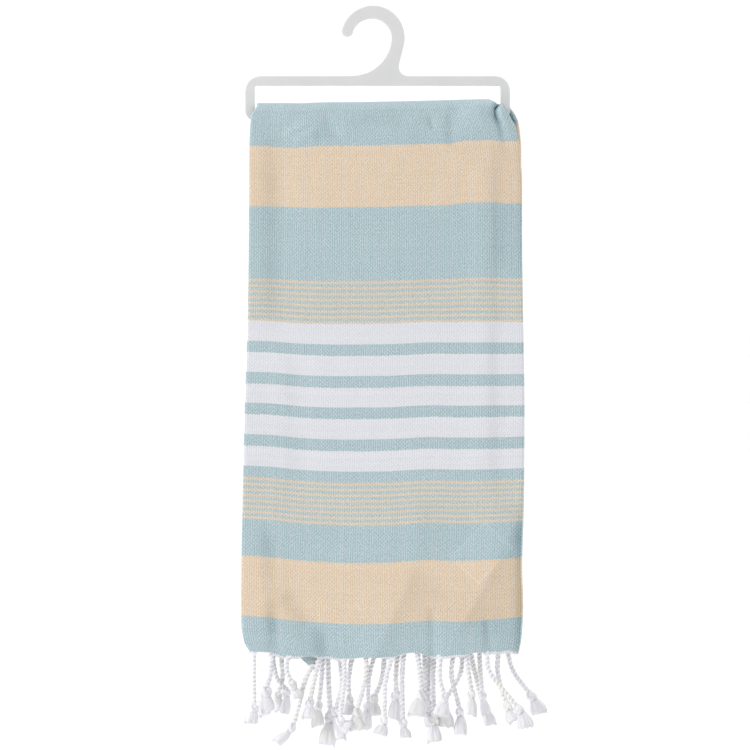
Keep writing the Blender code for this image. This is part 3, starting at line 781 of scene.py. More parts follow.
@dataclass
class FoldedSheet:
    """The towel's cloth: where any of its points lies, once folded in three and hung."""

    # Of each layer, its thickness with a little room; where the crest is; how far the halves hang;
    # and how far across the layers behind reach, as shares of the width.
    sheet: float = 1.0
    crest: float = -53.75
    front_fall: float = 362.5
    back_fall: float = 352.0
    second_reach: float = 0.882
    third_reach: float = 0.903

    # Where the face sinks past the layers behind, puffs out by the tuck, and folds fade.
    sink: float = 0.5
    sink_left: Pair = (0.04, 0.16)
    sink_right: Pair = (-0.02, 0.06)
    puff: float = 2.6
    puff_across: Pair = (54.0, 72.0)
    puff_down: Pair = (BEND, 30.0)
    soft_down: Pair = (3.0, 16.0)
    fold_starts: Pair = (0.0, 0.22)
    fold_ends: Pair = (0.80, 1.02)

    # How the third layer slips low down, and the layers behind end above the hem.
    slip_from: float = 312.0
    skew_from: float = 349.0
    slip_swing: float = 15.5
    slip_skew: float = 6.5
    slip_droop: float = 7.0
    slip_reach: float = 9.0
    inner_lift: float = 1.9
    inner_near: float = 20.0
    inner_depth: Pair = (0.7, 1.9)
    hem_near: float = 16.0
    ripple: float = 0.045

    # The tuck: its crease, cleft, lip and lobe, and the crest that is worn down beside it.
    crease_wide: float = 2.6
    cleft_wide: Pair = (1.0, 2.3)
    cleft_down: Pair = (12.0, 26.0)
    cleft_widens: float = 1.2
    lip: float = 0.5 / 3.0
    lip_left: float = 1.9
    lip_wide: float = 1.5
    lobe_across: Pair = (0.6, 4.2)
    lobe_wide: float = 7.5
    worn: float = 2.4
    worn_across: Pair = (75.5, 82.5)
    worn_down: Pair = (0.2, 3.4)

    # How much of the tuck the layers behind follow, at their depths.
    follow_depths: Triple = (0.5, 1.8, 3.1)
    follow_shares: Triple = (1.0, 0.80, 0.55)

    # Painted shade: how dark the cleft, the hollow behind the right fold and the hidden layers are
    # painted.
    shade_wide: Pair = (0.6, 2.6)
    hollow_shade: float = 0.58
    hollow_wide: float = 2.0
    hollow_depth: Pair = (0.7, 1.3)
    hollow_down: Pair = (13.0, 20.0)
    hidden_shade: float = 0.03

    def along(self, fall: float, side: Side) -> float:
        """The place along the sheet of a distance below the crest, under the bar."""
        return side.value * (fall - BEND + QUARTER)

    def sag(self, across: Array, share: Array) -> Array:
        """How far a weft line lies below level, at a share of the fall."""
        crest, middle, hem = SAGS.read(across)
        return crest * (1.0 - share) + middle * np.sin(math.pi * share) + hem * share

    def low(self, along: Array, start: float) -> Array:
        """A climb on the front half, from 0 at a distance below the crest to 1 at the hem."""
        return np.where(along < 0.0, smooth_step(fall_at(along), start, self.front_fall), 0.0)

    def raised(self, at: Spots) -> Array:
        """How far the layers behind end above the front layer's hem, apart from the slipped one."""
        near = self.low(at.along, self.front_fall - self.inner_near)
        return self.inner_lift * near * smooth_step(at.depth, *self.inner_depth)

    def drooped(self, at: Spots, selvage: Array) -> Array:
        """How far the slipped third layer hangs down: a bell round its selvage."""
        droop = (self.slip_droop + self.inner_lift) * self.low(at.along, self.slip_from)
        return droop * bell(at.across - selvage, self.slip_reach)

    def swung(self, along: Array) -> Array:
        """How far the slipped layer's selvage has swung to the right."""
        return (self.slip_swing * self.low(along, self.slip_from)
                + self.slip_skew * self.low(along, self.skew_from))

    def relief(self, at: Spots, folds: Sequence[Trough]) -> Array:
        """How far the cloth's face sinks for its soft folds.

        Each fold's shape across its line fades out at its ends, unless these are past the hem.

        Args:
            at: the points.
            folds: the folds.

        Returns:
            The depth of all of them together.
        """
        deep = np.zeros(np.broadcast(at.across, at.fall).shape)
        for fold in folds:
            run = np.subtract(fold.end, fold.start)
            length = float(np.hypot(*run))
            run = run / length
            dx = at.across - fold.start[0]
            dz = at.fall - fold.start[1]
            share = (dx * run[0] + dz * run[1]) / length
            rise = 1.0 if fold.start[1] > self.front_fall else smooth_step(share, *self.fold_starts)
            drop = 1.0 if fold.end[1] > self.front_fall else fade(share, *self.fold_ends)
            deep = deep + fold.deep * rise * drop * fold.shape(dx * run[1] - dz * run[0])
        return deep

    def pinch(self, off: Array, fall: Array, wide: Pair) -> Array:
        """A bell round the tuck's line, with a width on either side, both wider further down."""
        wider = 1.0 + self.cleft_widens * smooth_step(fall, *self.cleft_down)
        return bell(off, np.where(off < 0.0, *wide) * wider)

    def shade(self, at: Spots) -> Array:
        """How light the cloth is painted, near 1: the layers seen through it, with painted shade and
        light.

        The front layer is darker right of the edges seen through it, and has painted shade in its troughs
        and in the tuck's cleft, and painted light in a few broad strips. The back half has painted shade
        close behind the front half's right fold, and everything but the front layer has a little painted
        shade all over.

        Args:
            at: the points.

        Returns:
            A factor for the colour.
        """
        line, _ = CREASES.read(at.fall)
        _, _, cleft = PINCHES.read(at.fall)
        # Show-through of the edges behind, with painted shade in the troughs and the cleft and painted
        # light in some strips.
        troughs = [fold for fold in FRONT_FOLDS if not isinstance(fold, Step)]
        dark = self.relief(at, EDGES_AND_PAINTED_SHADE) + TROUGH_SHADE * self.relief(at, troughs)
        dark = dark + cleft * self.pinch(at.across - line, at.fall, self.shade_wide)
        # Painted shade in the hollow behind the front half's right fold, and a little on the hidden
        # layers.
        edge = ROWS.read(-np.abs(at.along))[1]
        hollow = self.hollow_shade * bell(np.maximum(at.across - edge, 0.0), self.hollow_wide)
        hollow = hollow * smooth_step(at.depth, *self.hollow_depth) * fade(at.fall, *self.hollow_down)
        behind = self.hidden_shade + np.where(at.along > 0.0, hollow, 0.0)
        return 1.0 - np.where((at.depth < self.sheet) & at.front, dark, behind)

    def tuck(self, at: Spots) -> Array:
        """How far the tuck sinks in, or stands out where negative.

        The crease is a wide bell along its line. The cleft is a bell that is steep on its left,
        where the cloth's lip stands out over it. The lobe rises right of the line and fades away.
        The layers behind follow the cleft and the lobe only in part.

        Args:
            at: the points.

        Returns:
            The distance in.
        """
        line, deep = CREASES.read(at.fall)
        cleft, lobe, _ = PINCHES.read(at.fall)
        off = at.across - line
        lip = self.lip * cleft * bell(off + self.lip_left, self.lip_wide)
        cleft = cleft * self.pinch(off, at.fall, self.cleft_wide)
        lobe = lobe * smooth_step(off, *self.lobe_across)
        lobe = lobe * bell(np.maximum(off - self.lobe_across[1], 0.0), self.lobe_wide)
        follow = np.interp(at.depth, self.follow_depths, self.follow_shares)
        sunk = deep * bell(off, self.crease_wide) + (cleft - lip - lobe) * follow
        return sunk * fade(at.along, 0.0, QUARTER / 4.0)

    def hem_lift(self, at: Spots) -> Array:
        """How far the cloth is lifted near its front hem."""
        return HEM_LIFTS.read(at.across)[0] * self.low(at.along, self.front_fall - self.hem_near)

    def unevenness(self, at: Spots) -> Array:
        """Slight waves of the cloth: sines of several slants and lengths, added."""
        return self.ripple * sum(np.sin(a * at.across + b * at.along + c) for a, b, c in WAVES)

    def point(self, at: Spots, lower: Array | float = 0.0) -> Array:
        """Where points of the sheet lie.

        Hanging, a point is its out distance from the bar's middle and its fall below the crest.
        Over the bar it is on a circle round the bar, with the same out distance turned. The tuck's
        puff stands out at the right, its crease sinks in, and the soft folds are added.

        Args:
            at: the points.
            lower: how much further down they are.

        Returns:
            Their places, with X, Y, Z on the last axis.
        """
        left, right, out, _ = ROWS.read(at.along)
        turn = math.pi / 2.0 + np.clip(at.along / BEND, -math.pi / 2.0, math.pi / 2.0)
        lean, rise = np.cos(turn), np.sin(turn)
        width = (at.across - left) / (right - left)
        beyond = smooth_step(width - self.second_reach, *self.sink_right)
        sink = self.sink * (fade(width, *self.sink_left) + beyond)
        puff = self.puff * fade(at.fall, *self.puff_down) * smooth_step(at.across, *self.puff_across)
        relief = np.where(at.front, self.relief(at, FRONT_FOLDS), self.relief(at, BACK_FOLDS))
        soft = smooth_step(at.fall, *self.soft_down)
        relief = relief * soft - self.unevenness(at) * (0.3 + 0.7 * soft)
        hangs = np.abs(at.along) > QUARTER
        inward = at.depth + self.tuck(at)
        radius = np.where(hangs, out, BEND) - inward
        y = -(radius - (sink + relief) * np.abs(lean) + puff) * lean
        drop = np.where(hangs, at.fall, BEND)
        total = np.where(at.front, self.front_fall, self.back_fall)
        z = self.crest - drop - self.sag(at.across, drop / total) - lower + (BEND - inward) * rise
        worn = smooth_step(at.across, *self.worn_across) * fade(at.fall, *self.worn_down)
        return np.stack(np.broadcast_arrays(at.across, y, z - self.worn * worn), axis=-1)


# ---- The finishes ----


@dataclass(frozen=True)
class TowelFinish:
    """Striped cotton: a white warp crossed by a coloured weft."""

    warp: Triple = (0.82, 0.83, 0.86)
    aqua: Triple = (0.240, 0.418, 0.452)
    cream: Triple = (0.740, 0.505, 0.250)
    white: Triple = (0.728, 0.728, 0.770)
    # deep: the tint of the painted shade in hollows, multiplied into the colour squared
    deep: Triple = (0.80, 1.06, 1.08)
    roughness: float = 0.92
    weave: Weave = Weave(0.00232, 0.00240, 0.00147, 0.0022)

    # The share of warp that shows: at least, where it lies on top, with clouds and its own tone.
    share: float = 0.145
    share_over: float = 0.31
    share_clouds: float = 0.16
    share_tone: float = 0.05

    # The tone: at least, where warp lies on top, and with weft, painted shade in the grooves by the
    # threads' height, and flecks.
    tone: float = 0.89
    tone_over: float = 0.13
    tone_weft: float = 0.03
    groove_shade: float = 0.05
    tone_flecks: float = 0.05

    # Painted shade in hollows: below which value it starts and how fast it deepens the colour; and how far
    # stripes' edges stray, in metres.
    painted_shade_start: float = 0.94
    painted_shade_gain: float = 3.4
    waver: float = 0.0006
    nudge: float = 0.0005

    # The stripes' starts from the cloth's middle line to its hem, in millimetres.
    bands: tuple[tuple[float, str], ...] = (
        (0.0, "aqua"), (28.5, "cream"), (68.5, "aqua"), (115.9, "lines"), (144.4, "white"),
        (157.7, "aqua"), (165.15, "white"), (178.35, "aqua"), (185.95, "white"), (198.75, "aqua"),
        (206.3, "white"), (219.55, "aqua"), (227.15, "white"), (240.4, "aqua"), (247.0, "lines"),
        (276.4, "aqua"), (299.8, "cream"), (339.6, "aqua"), (362.4, "white"),
    )
    # Both sets of fine lines: the middle of a line, and the distance between lines. Then how a line
    # fades out, in shares of that distance, and from which share of cream to which.
    line_sets: tuple[Pair, ...] = ((117.5, 3.75), (248.8, 3.66))
    line_edge: Pair = (0.10, 0.36)
    line_cream: Pair = (0.84, 0.12)

    # How the label shows: its border's softness and reach, in metres, and how much lighter it is.
    ghost_edge: float = 0.0006
    ghost_reach: Pair = (0.0002, 0.0014)
    ghost_inside: float = 0.032
    ghost_border: float = 0.045

    def build(self, effects: Effects, label: CareLabel) -> Material:
        """Make the material.

        The share of white warp grows where it lies on top. The tone is made of the threads' own, painted
        shade in the grooves by their height, and flecks. It is multiplied by the points' own value for
        show-through and painted shade; where that is low, in the hollows, the colour is also mixed toward
        itself squared, a deeper painted shade.

        Args:
            effects: the shared node groups.
            label: the care label, whose edges show faintly through the cloth.

        Returns:
            The material.
        """
        g = Look("striped cotton", self.aqua, self.roughness, Sheen_Weight=0.12,
                 Sheen_Roughness=0.6, Specular_IOR_Level=0.25)
        uv = g.uv()
        threads = effects.woven(g, uv, self.weave)
        lint = g.group(effects.lint, uv)
        over, height, flecks = threads["Over"], threads["Height"], lint["Flecks"]
        u, v, _ = g.split(uv)
        place = abs(v + (g.noise(uv, 46.0) - 0.5) * self.waver + over * self.nudge)

        share = over * (lint["Clouds"] * self.share_clouds + self.share_over) + self.share
        share = share + threads["Warp Tone"] * self.share_tone
        colour = g.mix(share, self.weft_colour(g, place), self.warp)
        # The points' own value for show-through and painted shade, from the folded sheet.
        backing = g.mark("backing")
        tone = threads["Weft Tone"] * self.tone_weft + self.tone + over * self.tone_over
        # The threads' height adds painted shade in the grooves between them.
        tone = tone + height * self.groove_shade + flecks * self.tone_flecks
        tone = tone * backing * self.label_ghost(g, u, v, label)
        # Painted shade in hollows: the colour mixes toward its own square, tinted, darker and more
        # saturated.
        hollow = (self.painted_shade_start - backing).calc("MULTIPLY", self.painted_shade_gain, clamp=True)
        painted_shadow_colour = g.mix(1.0, g.mix(1.0, colour, colour, "MULTIPLY"), self.deep, "MULTIPLY")
        g.feed(Base_Color=g.dimmed(g.mix(hollow, colour, painted_shadow_colour), tone),
               Normal=g.bump(flecks * 0.3 + height, 0.45, 0.00018))
        return g.material

    def weft_colour(self, g: Graph, place: Wire) -> Wire:
        """The weft's colour by its distance from the cloth's middle line.

        Each kind of band has a mask that steps up where such a band starts and down where it
        ends. In a set of lines, cream fades out with the distance from the nearest line's middle.

        Args:
            g: the material's graph.
            place: the distance, in metres.

        Returns:
            The colour.
        """
        masks: dict[str, Value] = {"cream": 0.0, "white": 0.0, "lines": 0.0}
        for (_, before), (start, name) in zip(self.bands, self.bands[1:]):
            past = place.calc("GREATER_THAN", start * MM)
            for kind, step in ((before, -1.0), (name, 1.0)):
                if kind in masks:
                    masks[kind] = past * step + masks[kind]
        (first, narrow), (second, wide) = self.line_sets
        late = place.calc("GREATER_THAN", 0.5 * (first + second) * MM)
        middle = late * ((second - first) * MM) + first * MM
        turns = (place - middle) / (late * ((wide - narrow) * MM) + narrow * MM)
        nearest = abs(turns - turns.calc("ROUND"))
        line = g.remap(nearest, *self.line_edge, *self.line_cream) * masks["lines"]
        cream = line.calc("ADD", masks["cream"], clamp=True)
        return g.mix(masks["white"], g.mix(cream, self.aqua, self.cream), self.white)

    def label_ghost(self, g: Graph, u: Wire, v: Wire, label: CareLabel) -> Wire:
        """How much lighter the cloth is over the care label and along its edges.

        The place is turned by the label's angle round its centre. The border is where the larger
        of the two distances, each less its half size, is close to nothing.

        Args:
            g: the material's graph.
            u: the cloth's place across.
            v: the cloth's place along.
            label: the label.

        Returns:
            A factor near 1.
        """
        dx, dz = u - label.cloth_centre[0] * MM, v - label.cloth_centre[1] * MM
        cos, sin = math.cos(math.radians(label.turn)), math.sin(math.radians(label.turn))
        a = abs(dx * cos + dz * sin) - label.size[0] / 2.0 * MM
        b = abs(dz * cos - dx * sin) - label.size[1] / 2.0 * MM
        edge = a.calc("MAXIMUM", b)
        inside = g.remap(edge, -self.ghost_edge, self.ghost_edge, 1.0, 0.0)
        border = g.remap(abs(edge + self.ghost_edge), *self.ghost_reach, 1.0, 0.0)
        return inside * self.ghost_inside + border * self.ghost_border + 1.0


@dataclass(frozen=True)
class CordFinish:
    """White cotton yarn, twisted into cords and loose in tufts."""

    colour: Triple = (0.905, 0.90, 0.93)
    warm: Triple = (0.91, 0.895, 0.87)
    roughness: float = 0.9
    yarns_round: float = 10.0
    yarns_along: float = 420.0
    plies: float = 2.0
    fibres_round: float = 30.0
    fibres_along: float = 110.0
    yarn_tone: float = 0.03
    # Painted shade between the plies: the tone at a ply's middle and at the crease.
    ply_crease_shade: Pair = (0.96, 0.85)
    fibre_tone: Pair = (0.88, 1.0)
    fleck_tone: float = 0.08

    def build(self, effects: Effects) -> Material:
        """Make the material.

        Fine yarns slant round the cords, which have painted shade between their plies. The points' own
        value "loose" says where there are loose fibres along the tufts instead: noise stretched
        along them. Broad noise turns the white slightly warm here and there.

        Args:
            effects: the shared node groups.

        Returns:
            The material.
        """
        g = Look("white cotton cord", self.colour, self.roughness, Sheen_Weight=0.15,
                 Specular_IOR_Level=0.25)
        u, v, _ = g.split(g.uv())
        place = g.place()
        lint = g.group(effects.lint, place)
        loose = g.mark("loose")
        yarn = ((u * self.yarns_round + v * self.yarns_along) * TURN).calc("SINE")
        edge = abs((u * self.plies).calc("FRACT") - 0.5)
        # Fine yarn lines, and painted shade between the plies.
        twisted = yarn * self.yarn_tone + g.remap(edge, 0.26, 0.50, *self.ply_crease_shade)
        stretched = g.vector(u * self.fibres_round, v * self.fibres_along, lint["Clouds"])
        fluffy = g.remap(g.noise(stretched, 1.0, 2.0, 0.6), 0.30, 0.66, *self.fibre_tone)
        tone = twisted * (1.0 - loose) + fluffy * loose + lint["Flecks"] * self.fleck_tone
        warmth = g.remap(g.noise(place, 75.0, 1.0), 0.52, 0.68)
        g.feed(Base_Color=g.dimmed(g.mix(warmth, self.colour, self.warm), tone),
               Normal=g.bump(lint["Flecks"] * 0.8 + tone * 2.0, 0.5, 0.00012))
        return g.material


@dataclass(frozen=True)
class TapeFinish:
    """Plain white woven tape."""

    colour: Triple = (0.84, 0.84, 0.86)
    roughness: float = 0.7
    weave: Weave = Weave(0.0010, 0.0012, 0.0007, 0.0002)

    def build(self, effects: Effects) -> Material:
        """Make the material: a fine weave over the tape's own UV, with painted shade in its grooves.

        Args:
            effects: the shared node groups.

        Returns:
            The material.
        """
        g = Look("white label tape", self.colour, self.roughness)
        height = effects.woven(g, g.uv(), self.weave)["Height"]
        # The weave's height gives painted shade in its grooves.
        g.feed(Base_Color=g.dimmed(self.colour, height * 0.10 + 0.92),
               Normal=g.bump(height, 0.3, 0.0001))
        return g.material


@dataclass(frozen=True)
class PlasticFinish:
    """Milky moulded plastic with a satin face."""

    colour: Triple = (0.755, 0.752, 0.752)
    roughness: float = 0.36
    glow: float = 0.25
    glow_radius: Triple = (0.003, 0.003, 0.003)

    def build(self) -> Material:
        """Make the material: faint flow clouds, a fine moulded grain and soft light within.

        Returns:
            The material.
        """
        g = Look("milky plastic", self.colour, self.roughness, Subsurface_Weight=self.glow,
                 Subsurface_Radius=self.glow_radius, Subsurface_Scale=1.0)
        place = g.place()
        clouds = g.noise(place, 55.0, 3.0)
        relief = g.noise(place, 2600.0, 2.0, 0.6) * 0.12 + g.noise(place, 120.0)
        g.feed(Base_Color=g.dimmed(self.colour, clouds * 0.07 + 0.955),
               Roughness=clouds * 0.16 + (self.roughness - 0.06), Normal=g.bump(relief, 0.25, 0.0003))
        return g.material


# ---- The pieces ----


@dataclass
class Towel:
    """The cloth as a thin closed sheet, folded and hung."""

    shape: FoldedSheet
    thick: float = 0.5
    heading: float = 2.1
    mean_width: float = 181.0

    # Places along: the cloth's own middle line, and where its places across are measured.
    middle: float = -5.25
    measured: float = -150.0

    # The mesh's columns: how many a layer has, and how many go round a fold.
    second_columns: int = 17
    third_columns: int = 27
    front_columns: int = 168
    left_steps: int = 5
    right_steps: int = 7

    # Where the columns lie: shares of the width, at shares of a layer's count.
    second_end: float = 0.02
    front_places: tuple[Pair, ...] = ((0.0, 0.0), (0.58, 0.83), (0.90, 0.955), (1.0, 1.0))
    third_places: tuple[Pair, ...] = ((0.0, 0.99), (0.40, 0.90), (0.62, 0.36))

    # The mesh's rows: each stretch's end and how many it has, between the two headings.
    front_rows: int = 4
    row_ends: tuple[tuple[float, int], ...] = (
        (-300.0, 30), (-60.0, 60), (-QUARTER, 36), (QUARTER, 24), (60.0, 16), (320.0, 34))
    last_rows: int = 10
    back_rows: int = 3

    # The hems' waves: each one's height, pace and phase; how far up they reach; and how much
    # less of them the third layer has.
    hem_waves: tuple[Triple, ...] = ((0.25, 0.31, 1.0), (0.2, 0.53, 0.4))
    waves_up: float = 14.0
    third_calm: float = 0.6

    # The heading under the front hem: the least share in view, and its soft ends, out and in.
    heading_least: float = 0.18
    heading_more: float = 0.82
    heading_soft: Pair = (3.0, 1.5)

    # How much more cloth the tuck takes up, and from where to where it climbs and fades.
    tuck_pull: float = 1.7
    tuck_across: Pair = (48.0, 64.0)
    tuck_past: Pair = (80.0, 88.0)
    tuck_down: Pair = (4.0, 20.0)
    tuck_fades: Pair = (70.0, 170.0)

    # The same for the puckers, with their middle and their width, and for the back half.
    pucker_pull: float = -1.3
    pucker_middle: Pair = (-53.0, 32.0)
    pucker_wide: Pair = (10.0, 24.0)
    back_pull: float = -2.9
    back_across: Pair = (78.0, 90.0)
    back_down: Pair = (2.0, 12.0)
    back_fades: Pair = (60.0, 170.0)

    def lengths(self) -> Pair:
        """Where the sheet's hems are, past its headings.

        Returns:
            The places along of the front hem and of the back one.
        """
        shape = self.shape
        return (shape.along(shape.front_fall, Side.FRONT) - self.heading,
                shape.along(shape.back_fall, Side.BACK) + self.heading)

    def rows_along(self) -> Array:
        """Places along the sheet of the mesh's rows, closer together at hems and over the bar.

        Returns:
            The places, rising.
        """
        front, back = self.lengths()
        ends = ((front + self.heading, self.front_rows), *self.row_ends,
                (back - self.heading, self.last_rows), (back, self.back_rows))
        starts = (front, *(end for end, _ in ends))
        rows = [np.linspace(start, end, count, endpoint=False)
                for start, (end, count) in zip(starts, ends)]
        return np.concatenate((*rows, [back]))

    def section(self, along: Array) -> list[Array]:
        """The folded sheet's mid line at each row.

        It runs from the second layer's selvage to the left fold, along the front layer to the
        right fold and back along the third layer. The folds are half circles.

        Args:
            along: the rows' places, as one column.

        Returns:
            Across, depth, the third layer's weight and the front layer's weight, as rows by points.
        """
        shape = self.shape
        left, right, _, gap = ROWS.read(along)
        width = right - left
        pitch = shape.sheet + gap
        outer = shape.sheet / 2.0
        left_turn, right_turn = pitch / 2.0, pitch
        left_stop = left + self.thick / 2.0 + left_turn
        right_stop = right - self.thick / 2.0 - right_turn
        left_arc, right_arc = (np.radians(np.linspace(-90.0, 90.0, steps + 2)[1:-1])
                               for steps in (self.left_steps, self.right_steps))

        second = np.linspace(shape.second_reach, self.second_end, self.second_columns)
        front, = Table(*self.front_places).read(np.linspace(0.0, 1.0, self.front_columns))
        third, = Table(*self.third_places, (1.0, 1.0 - shape.third_reach)).read(
            np.linspace(0.0, 1.0, self.third_columns))
        swing = np.clip((0.5 - third) / (shape.third_reach - 0.5), 0.0, 1.0)
        stretches = (
            (np.maximum(left + width * second, left_stop), outer + pitch, 0.0, 0.0),
            (left_stop - left_turn * np.cos(left_arc),
             outer + left_turn - left_turn * np.sin(left_arc), 0.0, 0.0),
            (left_stop + (right_stop - left_stop) * front, outer, 0.0, 1.0),
            (right_stop + right_turn * np.cos(right_arc),
             outer + right_turn + right_turn * np.sin(right_arc), 0.0, 0.0),
            (np.minimum(left + width * third, right_stop) + shape.swung(along) * swing,
             outer + 2.0 * pitch, 1.0, 0.0))
        columns = zip(*(np.broadcast_arrays(*stretch) for stretch in stretches))
        return [np.concatenate(column, axis=1) for column in columns]

    def heading_share(self, across: Array) -> Array:
        """How much of the heading hangs in view below the front layer's hem.

        Args:
            across: places across.

        Returns:
            The share of its height.
        """
        out, inside = self.heading_soft
        shown = [smooth_step(across, left - out, left + inside)
                 * fade(across, right - inside, right + out) for left, right in HEADING_SHOWS]
        return self.heading_least + self.heading_more * np.max(shown, axis=0)

    def surface(self) -> tuple[Array, Array, Array]:
        """The sheet's middle surface.

        Returns:
            Its points as rows by columns by 3, its UV places in metres, and how light each
            point is painted, for the layers seen through it and for painted shade.
        """
        shape = self.shape
        along = self.rows_along()[:, None]
        across, depth, is_third, is_front = self.section(along)
        at = Spots(across, depth, along)

        past = np.maximum(shape.along(shape.front_fall, Side.FRONT) - along, 0.0)
        tucked = past * (1.0 - self.heading_share(across)) * is_front
        wave = sum(high * np.sin(pace * across + phase) for high, pace, phase in self.hem_waves)
        low = smooth_step(at.fall, shape.front_fall - self.waves_up, shape.front_fall)
        lower = shape.drooped(at, across[:, -1:]) * is_third - tucked
        lower = lower + wave * low * (1.0 - self.third_calm * is_third) - shape.hem_lift(at)
        points = shape.point(at, lower - shape.raised(at) - past * is_third)

        mid = int(np.argmin(np.abs(along[:, 0] - self.measured)))
        u = distance_run(points[mid][None])
        v = self.middle - along + self.pulled(at)
        return points, np.stack(np.broadcast_arrays(u, v), axis=-1) * MM, shape.shade(at)

    def pulled(self, at: Spots) -> Array:
        """How much more cloth the tuck and the puckers take up above each point.

        Near the tuck this climbs from the left to the right and fades further down, the other way
        at the back. At the puckers on the left it is a bell.

        Args:
            at: the points.

        Returns:
            The extra length, in millimetres.
        """
        across, fall = at.across, at.fall
        tuck = smooth_step(across, *self.tuck_across) * (1.0 - 0.5 * smooth_step(across, *self.tuck_past))
        tuck = self.tuck_pull * tuck * smooth_step(fall, *self.tuck_down) * fade(fall, *self.tuck_fades)
        (x, z), (wide, high) = self.pucker_middle, self.pucker_wide
        pucker = self.pucker_pull * bell(across - x, wide) * bell(fall - z, high)
        back = self.back_pull * smooth_step(across, *self.back_across)
        back = back * smooth_step(fall, *self.back_down) * fade(fall, *self.back_fades)
        return np.where(at.front, tuck + pucker, back)

    def own_place(self, x: float, z: float) -> Pair:
        """The cloth's own place where its front layer hangs nearest a point.

        Args:
            x: the point's place across.
            z: its height.

        Returns:
            The place in the UV map, in millimetres.
        """
        middle, uv, _ = self.surface()
        start = self.second_columns + self.left_steps
        layer = np.s_[: len(middle) // 2, start:start + self.front_columns]
        gap = np.linalg.norm(middle[layer][..., ::2] - (x, z), axis=-1)
        return tuple(uv[layer].reshape(-1, 2)[np.argmin(gap)] / MM)

    def build(self, material: Material) -> Item:
        """Make the sheet: two skins half a thickness off the middle surface, closed at the rim.

        Args:
            material: the cloth's material.

        Returns:
            The towel's object.
        """
        middle, uv, backing = self.surface()
        normal = np.cross(np.gradient(middle, axis=1), np.gradient(middle, axis=0))
        half = unit(normal) * self.thick / 2.0
        # The outer skin carries the show-through and painted shade, the inner skin none.
        backing = np.concatenate((backing.ravel(), np.ones(backing.size)))
        return plate_patch(middle + half, middle - half, uv).to_object(
            "towel_cloth", material, backing=backing)

    def flat_size(self) -> Pair:
        """The cloth's cut size, unfolded.

        Returns:
            Its width and length in metres.
        """
        width = self.mean_width * (1.0 + self.shape.second_reach + self.shape.third_reach)
        front, back = self.lengths()
        return width * MM, (back - front) * MM


class Cord(NamedTuple):
    """A fringe cord: layer, root, bend, knot, end of tuft, distance out, and girth."""

    layer: int
    root: float
    bend_x: float
    bend_z: float
    knot_x: float
    knot_z: float
    end_x: float
    end_z: float
    out: float
    girth: float = 1.0


FRONT_CORDS = (
    Cord(0, -76.4, -76.4, -430.0, -76.3, -448.0, -78.3, -458.4, 9.4, 0.92),
    Cord(0, -53.6, -55.3, -422.5, -51.6, -433.4, -47.1, -441.5, 9.6),
    Cord(0, -18.1, -17.7, -430.5, -20.1, -456.4, -14.0, -461.5, 9.6),
    Cord(0, 13.4, 8.8, -433.0, 8.2, -456.2, 5.3, -465.5, 9.4),
    Cord(0, 44.7, 44.3, -429.3, 47.0, -441.5, 44.9, -453.8, 9.6),
    Cord(0, 74.9, 77.2, -426.0, 95.3, -448.6, 100.5, -461.0, 9.6),
    Cord(1, -64.0, -65.9, -426.0, -68.5, -437.5, -67.2, -450.6, 6.4, 1.12),
    Cord(1, -33.0, -37.1, -429.3, -40.2, -445.4, -40.6, -455.1, 6.4),
    Cord(1, -3.6, -4.0, -429.3, -9.5, -451.2, -9.4, -462.9, 6.2),
    Cord(1, 29.2, 31.5, -427.0, 32.2, -440.2, 29.0, -453.8, 6.4, 1.1),
    Cord(1, 61.0, 63.0, -426.0, 65.0, -439.5, 65.1, -453.0, 6.4),
    Cord(2, -37.3, -43.0, -430.5, -51.7, -461.0, -61.4, -471.4, 3.6, 1.05),
    Cord(2, -12.2, -15.0, -430.5, -14.6, -443.4, -15.0, -453.2, 3.4),
    Cord(2, 21.4, 19.9, -428.5, 20.5, -458.1, 22.5, -468.1, 3.4),
    Cord(2, 53.7, 52.1, -428.0, 57.5, -451.0, 57.9, -465.9, 3.4, 0.95),
    Cord(2, 82.9, 82.3, -427.0, 88.5, -447.3, 93.7, -457.1, 3.4),
)
BACK_CORDS = (
    Cord(0, -67.2, -65.8, -424.5, -71.4, -442.8, -69.8, -455.1, 9.4, 1.15),
    Cord(0, -28.6, -28.2, -431.1, -27.2, -455.8, -29.2, -474.0, 9.6, 1.1),
    Cord(0, 4.7, -1.6, -429.8, -2.5, -448.6, -4.8, -464.2, 9.4),
    Cord(0, 38.3, 37.4, -431.1, 36.5, -451.2, 40.0, -461.6, 9.6, 1.15),
    Cord(0, 62.5, 68.0, -428.5, 73.8, -449.0, 78.1, -461.0, 9.4, 1.1),
    Cord(0, 87.4, 92.0, -424.5, 104.4, -442.1, 110.2, -453.8, 9.4),
    Cord(1, -60.8, -58.1, -429.1, -61.7, -442.1, -58.8, -451.0, 6.2),
    Cord(1, -30.8, -33.0, -433.6, -34.8, -448.6, -35.4, -461.6, 6.2),
    Cord(1, 18.7, 16.0, -425.6, 16.0, -441.5, 14.7, -457.1, 6.4),
    Cord(1, 34.2, 34.8, -428.5, 35.1, -441.2, 34.8, -451.9, 5.6),
    Cord(1, 59.0, 58.2, -426.5, 47.8, -446.7, 49.1, -462.3, 6.4, 0.95),
    Cord(2, -65.9, -62.7, -427.5, -55.5, -438.9, -56.8, -453.0, 3.4),
    Cord(2, -23.1, -19.2, -432.4, -23.1, -451.7, -19.8, -470.1, 3.4),
    Cord(2, 9.2, 6.9, -429.3, 2.0, -443.4, 2.3, -454.5, 3.4),
    Cord(2, 41.5, 40.0, -431.1, 40.7, -457.1, 41.1, -471.7, 3.4, 1.1),
    Cord(2, 70.0, 71.0, -426.0, 72.5, -441.4, 75.1, -453.5, 3.4),
)


